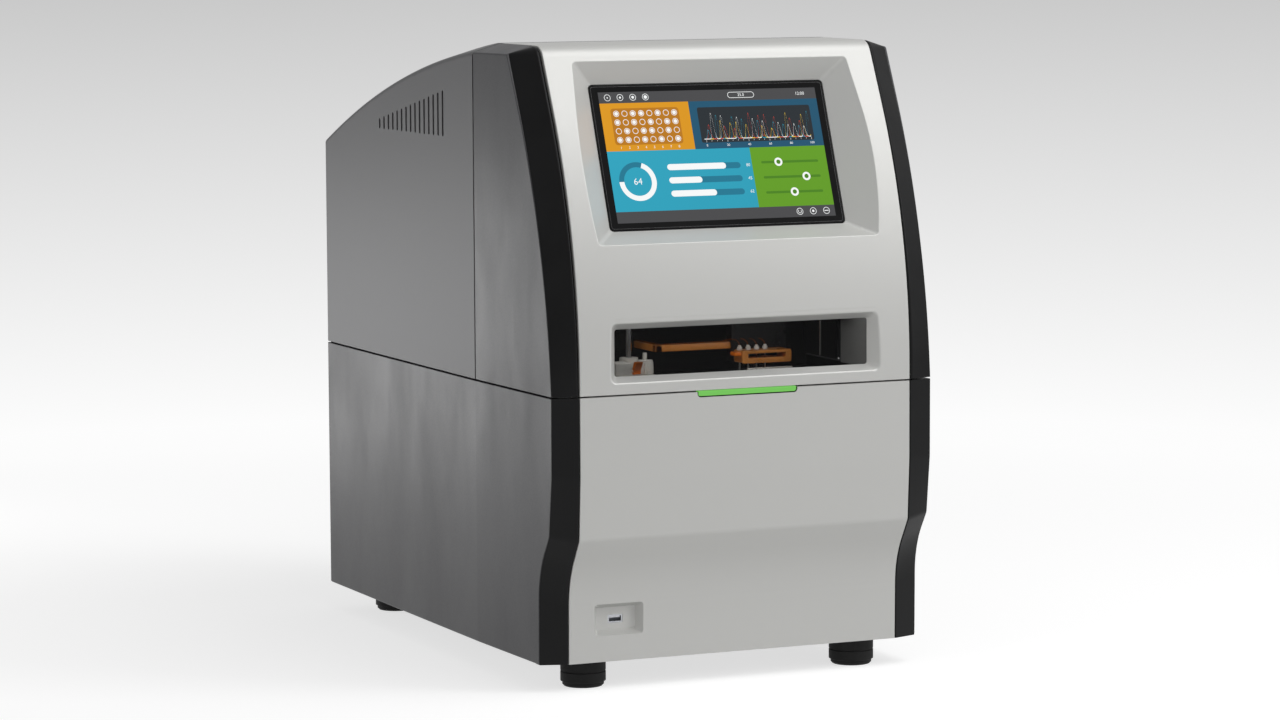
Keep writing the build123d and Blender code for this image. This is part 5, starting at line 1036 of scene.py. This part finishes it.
@dataclass
class CompartmentFittings:
    """In the compartment: caps, fluid lines, and the screws of the oven, bulkhead and deck."""

    oven: tuple[float, float, float] = (66.0, 465.0, 44.8)
    oven_screws: tuple[float, float] = (71.0, 82.0)
    bulkhead: float = 262.0
    bulkhead_screws: tuple[float, ...] = (300.0, 420.0, 540.0)
    deck: float = 269.0
    deck_screws: tuple[float, ...] = (50.0, 240.0)
    screw_x: float = 176.0
    cartridge: tuple[float, float, float] = (-137.0, 191.0, 440.0)
    bottle: tuple[float, float, float] = (-135.0, 110.0, 306.0)

    def screws(self) -> None:
        """Screws of the bulkhead and the deck, and captive ones at the oven cover's corners."""
        heads = [screw(Place((self.screw_x, self.bulkhead, z)), 3.0, Head.PAN) for z in self.bulkhead_screws]
        spots = [top_place(self.screw_x, depth, self.deck) for depth in self.deck_screws]
        heads += [screw(spot, 3.0, Head.PAN) for spot in spots]
        fit("compartment_screws", [both(joined(heads))], Use.BLACK_SCREW)
        x, z, behind = self.oven
        plane = DoorFittings().plane(x, z, behind)
        across, up = self.oven_screws
        corners = [plane.shift(i * across, j * up) for i in SIDES for j in SIDES]
        fit("oven_screws", [screw(corner, 3.2, Head.PAN) for corner in corners], Use.STEEL)

    def caps(self) -> None:
        """A ribbed cap on the buffer container and a plain one on the cartridge."""
        turn = np.linspace(0, 2 * np.pi, 120, endpoint=False)
        ribbed = (16.0 + 0.5 * np.cos(30 * turn))[:, None] * np.stack([np.cos(turn), np.sin(turn)], -1)
        outlines = [(ribbed, 0.0), (ribbed, 8.0), (ribbed * 0.95, 9.4), (ribbed * 0.9, 9.8)]
        fit("buffer_cap", [layered(outlines, top_place(*self.bottle))], Use.WHITE)
        profile = [(14.0, 0.0), (14.0, 5.0), (13.0, 6.6), (6.0, 7.0), (5.6, 10.0), (3.0, 11.0)]
        fit("cartridge_cap", [turned(profile, top_place(*self.cartridge), 32)], Use.BLACK)

    def gauge(self) -> None:
        """A dark sight strip on the cartridge's sloping front."""
        rise = math.hypot(18.0, 140.0)
        place = Place((self.cartridge[0], 159.0, 370.0), up=(0.0, 18.0 / rise, 140.0 / rise))
        strip = plate(9.0, 96.0, 0.8, 4.0, place, 0, 0.4)
        fit("cartridge_window", [strip], Use.BROWN)

    def lines(self) -> None:
        """Rigid lines from the cartridge and the buffer container to the pump block, with nuts."""
        path = [(-104.0, 186.0, 288.0), (-84.0, 188.0, 288.0), (-80.0, 190.0, 287.0), (-80.0, 171.5, 286.0)]
        feed = tube(bezier(path, 20), 1.6, 10)
        link = tube(np.linspace((-106.5, 124.0, 286.0), (-93.5, 124.0, 286.0), 4), 1.6, 10)
        fit("fluid_lines", [feed, link], Use.WHITE)
        nut = [(hexagon(9.0), 0.0), (hexagon(9.0), 4.0), (hexagon(9.0) * 0.9, 4.6), (hexagon(9.0) * 0.4, 4.8)]
        nuts = [
            layered(nut, Place((-104.0, 186.0, 288.0), (0.0, 1.0, 0.0))),
            layered(nut, rear_place(-80.0, 172.0, 286.0)),
            layered(nut, Place((-94.0, 124.0, 286.0), (0.0, -1.0, 0.0))),
        ]
        fit("line_nuts", nuts, Use.BLACK)

    def build(self) -> None:
        """Makes the compartment's fittings."""
        self.screws()
        self.caps()
        self.gauge()
        self.lines()


# The touchscreen's picture


def tile(name: str, colour: Colour) -> Glow:
    """A tile's glow, brighter towards its upper left."""
    return Glow(name, colour, fade=0.12, direction=(-3.0, 0.0, 5.0), middle=2.45)


class Tint(Enum):
    """Colours of the screen's picture."""

    ORANGE = tile("screen_orange", srgb(206, 140, 4))
    NAVY = tile("screen_navy", srgb(14, 76, 104))
    TEAL = tile("screen_teal", srgb(32, 152, 178))
    GREEN = tile("screen_green", srgb(92, 150, 18))
    BAR = Glow("screen_bar", srgb(64, 64, 66), fade=0.05)
    WHITE = Glow("screen_white", srgb(236, 238, 238))
    DARK = Glow("screen_dark", srgb(26, 34, 40))
    AMBER = Glow("screen_amber", srgb(176, 112, 2))
    DEEP_TEAL = Glow("screen_deep_teal", srgb(16, 112, 138))
    LEAF = Glow("screen_leaf", srgb(66, 122, 8))
    RED = Glow("screen_red", srgb(206, 66, 44))
    YELLOW = Glow("screen_yellow", srgb(236, 200, 60))


TINTS = list(Tint)


@dataclass
class Touchscreen:
    """A generic control picture in the touchscreen's lit area.

    The picture is a set of flat shapes a few hundredths of a millimetre apart on
    the glass: two bars, four unequal tiles, a dot plate, peak traces, a ring
    gauge and sliders.
    """

    middle: float = 495.4
    depth: float = 64.81
    width: float = 226.0
    tall: float = 128.4
    bar: float = 11.0
    split_top: float = -22.0
    split_low: float = 34.0
    split_level: float = 6.0
    lift: float = 0.06
    step: float = 0.03
    shapes: list[Shape] = field(default_factory=list)

    @property
    def glass(self) -> Place:
        """The lit area's middle, on the glass."""
        return Place((0.0, self.depth, self.middle), up=(0.0, math.sin(GLASS_LEAN), math.cos(GLASS_LEAN)))

    def spot(self, across: float, up: float, level: float) -> Place:
        """A place on the picture, on one of its thin layers."""
        return self.glass.shift(across, up, self.lift + self.step * level)

    def face(self, outline: np.ndarray, place: Place, tint: Tint) -> None:
        """Adds one flat face with the given outline."""
        points = place.put(np.column_stack([outline, np.zeros(len(outline))]))
        self.shapes.append(Shape(points, [tuple(range(len(outline)))], [TINTS.index(tint)]))

    def card(
        self, left: float, right: float, low: float, high: float, tint: Tint, level: int, radius: float = 0.05
    ) -> None:
        """A flat rounded card between two sides and two heights of the picture."""
        outline = rounded(right - left, high - low, radius)
        self.face(outline, self.spot((left + right) / 2, (low + high) / 2, level), tint)

    def dot(self, across: float, up: float, radius: float, tint: Tint, level: int) -> None:
        """A flat disc."""
        self.face(circle(radius, 20), self.spot(across, up, level), tint)

    def ring(
        self, across: float, up: float, radius: float, width: float, tint: Tint, level: int,
        start: float = 0.0, sweep: float = 360.0,
    ) -> None:
        """A flat ring or part of one: two arcs of the same turns, one width apart."""
        steps = 48
        turn = np.radians(np.linspace(start, start + sweep, steps + 1))
        arc = np.stack([np.cos(turn), np.sin(turn), np.zeros_like(turn)], -1)
        points = self.spot(across, up, level).put(np.concatenate([arc * (radius - width), arc * radius]))
        i = np.arange(steps)
        quads = np.stack([i, steps + 1 + i, steps + 2 + i, i + 1], -1)
        self.shapes.append(Shape(points, [tuple(q) for q in quads.tolist()], [TINTS.index(tint)] * steps))

    def bars(self) -> None:
        """The dark bars along the top and bottom, with ring buttons."""
        half, side = self.tall / 2, self.width / 2
        self.card(-side, side, half - self.bar, half, Tint.BAR, 0)
        self.card(-side, side, -half, self.bar - half, Tint.BAR, 0)
        for number in range(4):
            self.ring(-side + 9 + 13 * number, half - self.bar / 2, 3.3, 0.5, Tint.WHITE, 2)
            self.dot(-side + 9 + 13 * number, half - self.bar / 2, 0.7 + 0.35 * number, Tint.WHITE, 2)
        self.card(20, 48, half - 8.6, half - 2.6, Tint.WHITE, 1, 3.0)
        self.card(20.5, 47.5, half - 8.1, half - 3.1, Tint.BAR, 2, 2.5)
        for number in range(3):
            self.ring(side - 9 - 14 * number, self.bar / 2 - half, 3.4, 0.5, Tint.WHITE, 2)
        foot = self.bar / 2 - half
        self.card(side - 11.2, side - 6.8, foot - 0.4, foot + 0.4, Tint.WHITE, 2)
        self.dot(side - 23, self.bar / 2 - half, 1.2, Tint.WHITE, 2)
        self.ring(side - 37, self.bar / 2 - half, 1.8, 0.5, Tint.WHITE, 2, 130, 280)

    def tiles(self) -> None:
        """Four tiles of unequal size between the bars."""
        side = self.width / 2
        top, low = self.tall / 2 - self.bar, self.bar - self.tall / 2
        self.card(-side, self.split_top, self.split_level, top, Tint.ORANGE, 0)
        self.card(self.split_top, side, self.split_level, top, Tint.NAVY, 0)
        self.card(-side, self.split_low, low, self.split_level, Tint.TEAL, 0)
        self.card(self.split_low, side, low, self.split_level, Tint.GREEN, 0)

    def dot_plate(self) -> None:
        """A plate of round wells on the orange tile, some of them filled."""
        self.card(-103, -33, 12, 48, Tint.AMBER, 1, 3.0)
        across, up = np.meshgrid(np.arange(8), np.arange(4))
        filled = (across * 3 + up * 5) % 7 < 4
        for x, y, full in zip(across.ravel(), up.ravel(), filled.ravel()):
            well = (-97.5 + 8.5 * x, 17.0 + 8.6 * y)
            self.ring(*well, 3.0, 0.55, Tint.WHITE, 2)
            if full:
                self.dot(*well, 1.9, Tint.WHITE, 2)

    def traces(self) -> None:
        """Four overlapping peak traces on the navy tile, each a sum of bell curves."""
        self.card(-14, 104, 12, 47, Tint.DARK, 1, 2.0)
        across = np.linspace(-11, 101, 340)
        for colour, tint in enumerate((Tint.TEAL, Tint.YELLOW, Tint.RED, Tint.WHITE)):
            peaks = -6 + 112 * ((np.arange(9) * 0.618 + colour * 0.27) % 1.0)
            tall = 9 + 17 * ((np.arange(9) * 0.37 + colour * 0.41) % 1.0)
            bells = tall * np.exp(-(((across[:, None] - peaks) / 1.7) ** 2))
            level = 15.5 + bells.sum(1).clip(0, 28)
            lift = self.lift + self.step * (2 + colour * 0.3)
            self.shapes.append(ribbon(across, level, 0.7, self.glass, lift, TINTS.index(tint)))

    def number(self, words: str, across: float, up: float, tall: float, tint: Tint, level: int) -> None:
        """Plain numbers on the picture."""
        self.shapes.append(figures(words, tall, self.spot(across, up, level), TINTS.index(tint)))

    def numbers(self) -> None:
        """Column and axis numbers with ticks, values beside the bars and gauge, and the bar's readings."""
        for column in range(8):
            self.number(str(column + 1), -97.5 + 8.5 * column, 9.2, 3.4, Tint.WHITE, 2)
        for value in range(6):
            self.number(str(20 * value), -9 + 22 * value, 9.2, 3.2, Tint.WHITE, 2)
        for number, share in enumerate((80, 45, 62)):
            self.number(str(share), 30, -11.2 - 13 * number, 4.2, Tint.WHITE, 2)
        self.number("64", -86, -24.3, 9.0, Tint.WHITE, 3)
        self.number("25.0", 34, self.tall / 2 - 5.7, 4.0, Tint.WHITE, 3)
        self.number("12:00", 96, self.tall / 2 - 5.7, 4.4, Tint.WHITE, 3)
        for tick in range(21):
            long = 2.0 if tick % 4 == 0 else 1.1
            self.card(-9.15 + 5.5 * tick, -8.85 + 5.5 * tick, 14.4 - long, 14.4, Tint.WHITE, 2)

    def gauge(self) -> None:
        """A ring gauge and three level bars on the teal tile."""
        self.ring(-86, -24, 19, 5, Tint.DEEP_TEAL, 1)
        self.ring(-86, -24, 19, 5, Tint.WHITE, 2, -180, 250)
        for number, share in enumerate((0.8, 0.45, 0.62)):
            level = -11 - 13 * number
            self.card(-54, 22, level - 3, level + 3, Tint.DEEP_TEAL, 1, 3.0)
            self.card(-54, -54 + 76 * share, level - 3, level + 3, Tint.WHITE, 2, 3.0)

    def sliders(self) -> None:
        """Three sliders with round knobs on the green tile."""
        for number, share in enumerate((0.3, 0.75, 0.5)):
            level = -9 - 15 * number
            self.card(44, 104, level - 1.2, level + 1.2, Tint.LEAF, 1, 1.2)
            self.dot(44 + 60 * share, level, 4.2, Tint.WHITE, 2)
            self.dot(44 + 60 * share, level, 2.2, Tint.LEAF, 3)

    def build(self) -> None:
        """Makes the picture as one piece of the door."""
        self.bars()
        self.tiles()
        self.dot_plate()
        self.traces()
        self.gauge()
        self.sliders()
        self.numbers()
        piece("screen_picture", joined(self.shapes), [t.value for t in TINTS], Body.DOOR)


# The room


@dataclass(frozen=True)
class SoftBox:
    """A soft lamp: a flat box at a spot, turned to face a point, in metres and watts."""

    name: str
    spot: tuple[float, float, float]
    aim: tuple[float, float, float]
    size: tuple[float, float]
    watts: float

    def build(self) -> None:
        """Makes the lamp, unseen by the camera."""
        data = bpy.data.lights.new(self.name, "AREA")
        data.shape, data.size, data.size_y, data.energy = "RECTANGLE", self.size[0], self.size[1], self.watts
        light = bpy.data.objects.new(self.name, data)
        bpy.context.scene.collection.objects.link(light)
        light.visible_camera = False
        light.location = self.spot
        light.rotation_euler = (Vector(self.aim) - Vector(self.spot)).to_track_quat("-Z", "Y").to_euler()


@dataclass
class Studio:
    """Floor, soft lamps and the camera.

    The floor is one wide disc. Near the object it is a lit surface that takes the
    shadow, and further off it shows a plain tone that falls with distance.
    """

    focal: float = 121.08
    eye: tuple[float, float, float] = (-1.7157563, -3.9091364, 0.7259225)
    azimuth: float = 0.418630
    elevation: float = 0.104397
    roll: float = -0.005087
    reach: float = 40.0
    far_tone: float = 0.509
    lift: float = 0.68
    near: tuple[float, float] = (0.7, 1.9)
    boxes: tuple[SoftBox, ...] = (
        SoftBox("top_box", (0.7, -1.2, 2.5), (0.0, 0.0, 0.3), (2.0, 1.6), 27.0),
        SoftBox("right_box", (2.3, -2.1, 1.7), (0.0, 0.0, 0.35), (1.2, 1.6), 29.0),
        SoftBox("left_box", (-2.9, -1.4, 1.0), (0.0, 0.0, 0.3), (1.0, 1.6), 7.0),
        SoftBox("low_rear_box", (-0.78, 1.25, 0.2), (-0.2, 0.0, 0.3), (0.5, 0.36), 1.5),
        SoftBox("inner_box", (0.0, -0.235, 0.352), (0.02, -0.17, 0.29), (0.26, 0.02), 0.14),
    )

    def camera(self) -> None:
        """Points the camera: its back axis from azimuth and elevation, then the roll about it."""
        level = math.cos(self.elevation)
        ahead = (math.sin(self.azimuth) * level, math.cos(self.azimuth) * level, -math.sin(self.elevation))
        forward = Vector(ahead)
        right = forward.cross(Vector((0, 0, 1))).normalized()
        up = right.cross(forward)
        turned_right = math.cos(self.roll) * right + math.sin(self.roll) * up
        turned_up = -math.sin(self.roll) * right + math.cos(self.roll) * up
        data = bpy.data.cameras.new("camera")
        data.lens, data.sensor_width = self.focal, 36.0
        data.sensor_fit = "HORIZONTAL"
        data.clip_end = 120.0
        view = bpy.data.objects.new("camera", data)
        bpy.context.scene.collection.objects.link(view)
        turn = Matrix((turned_right, turned_up, -forward)).transposed().to_4x4()
        view.matrix_world = Matrix.Translation(self.eye) @ turn
        bpy.context.scene.camera = view

    def floor(self) -> None:
        """One disc of rings, each ring a circle of its own radius."""
        radii = np.array([0.0, 1.0, 2.5, 6.0, 15.0, self.reach])
        turn = np.linspace(0, 2 * np.pi, 96, endpoint=False)
        flat = np.stack([np.cos(turn), np.sin(turn), np.zeros_like(turn)], -1)
        shape = lofted(radii[::-1, None, None].clip(0.001) * flat[None], caps=False)
        mesh = bpy.data.meshes.new("studio_floor")
        mesh.from_pydata(shape.points.tolist(), [], shape.faces)
        floor = bpy.data.objects.new("studio_floor", mesh)
        bpy.context.scene.collection.objects.link(floor)
        mesh.materials.append(self.floor_material())

    def floor_material(self) -> bpy.types.Material:
        """Pale floor, lit near the object and plain further off.

        The plain tone is the far tone plus a share that falls as one over the
        distance, which reads as an even fall up the picture.
        """
        board = Board("studio_floor")
        board.shade(Base_Color=(0.5, 0.5, 0.5), Roughness=0.9, Specular_IOR_Level=0.0)
        length = board.add("ShaderNodeVectorMath")
        length.operation = "LENGTH"
        board.join(board.place(), length.inputs[0])
        run = length.outputs["Value"]
        tone = board.sum(board.sum(2.89, board.sum(run, 4.27), "DIVIDE"), self.far_tone)
        plain = board.add("ShaderNodeEmission", Strength=board.sum(tone, 1.0, "MINIMUM"))
        path = board.tree.nodes.new("ShaderNodeLightPath")
        bent = board.sum(path.outputs["Is Glossy Ray"], path.outputs["Is Transmission Ray"], "MAXIMUM")
        seen = board.sum(path.outputs["Is Camera Ray"], bent, "MAXIMUM")
        lifted = board.add("ShaderNodeEmission", Strength=board.sum(seen, self.lift, "MULTIPLY"))
        lit = board.tree.nodes.new("ShaderNodeAddShader")
        board.join(board.surface.outputs["BSDF"], lit.inputs[0])
        board.join(lifted.outputs[0], lit.inputs[1])
        far = board.spread(run, 0.0, 1.0, *self.near)
        mix = board.add("ShaderNodeMixShader", Fac=board.sum(seen, far, "MULTIPLY"))
        board.join(lit.outputs[0], mix.inputs[1])
        board.join(plain.outputs[0], mix.inputs[2])
        board.join(mix.outputs[0], board.output.inputs["Surface"])
        return board.material

    def world(self) -> None:
        """A dim white room that is seen as the floor's far tone."""
        world = bpy.data.worlds.new("room")
        world.use_nodes = True
        tree = world.node_tree
        path = tree.nodes.new("ShaderNodeLightPath")
        seen = path.outputs["Is Camera Ray"]
        for ray in ("Is Glossy Ray", "Is Transmission Ray"):
            either = tree.nodes.new("ShaderNodeMath")
            either.operation = "MAXIMUM"
            tree.links.new(seen, either.inputs[0])
            tree.links.new(path.outputs[ray], either.inputs[1])
            seen = either.outputs[0]
        level = tree.nodes.new("ShaderNodeMapRange")
        level.inputs["To Min"].default_value = 0.24
        level.inputs["To Max"].default_value = self.far_tone
        tree.links.new(seen, level.inputs["Value"])
        tree.nodes["Background"].inputs["Color"].default_value = (1.0, 1.0, 1.0, 1.0)
        tree.links.new(level.outputs["Result"], tree.nodes["Background"].inputs["Strength"])
        bpy.context.scene.world = world

    def build(self) -> None:
        """Sets up the room."""
        self.camera()
        self.floor()
        for box in self.boxes:
            box.build()
        self.world()
        bpy.context.scene.view_settings.view_transform = "Standard"


def main() -> None:
    """Builds the room, dresses the frame and adds the finer pieces."""
    logging.basicConfig(level=logging.INFO, format="%(name)s %(message)s")
    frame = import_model()
    Studio().build()
    dress_frame(frame["nodes"])
    kinds = (CasingFittings, DoorFittings, CapillaryFittings, SamplerFittings, CompartmentFittings)
    for kind in (Touchscreen, *kinds):
        kind().build()


if __name__ == "__main__":
    main()
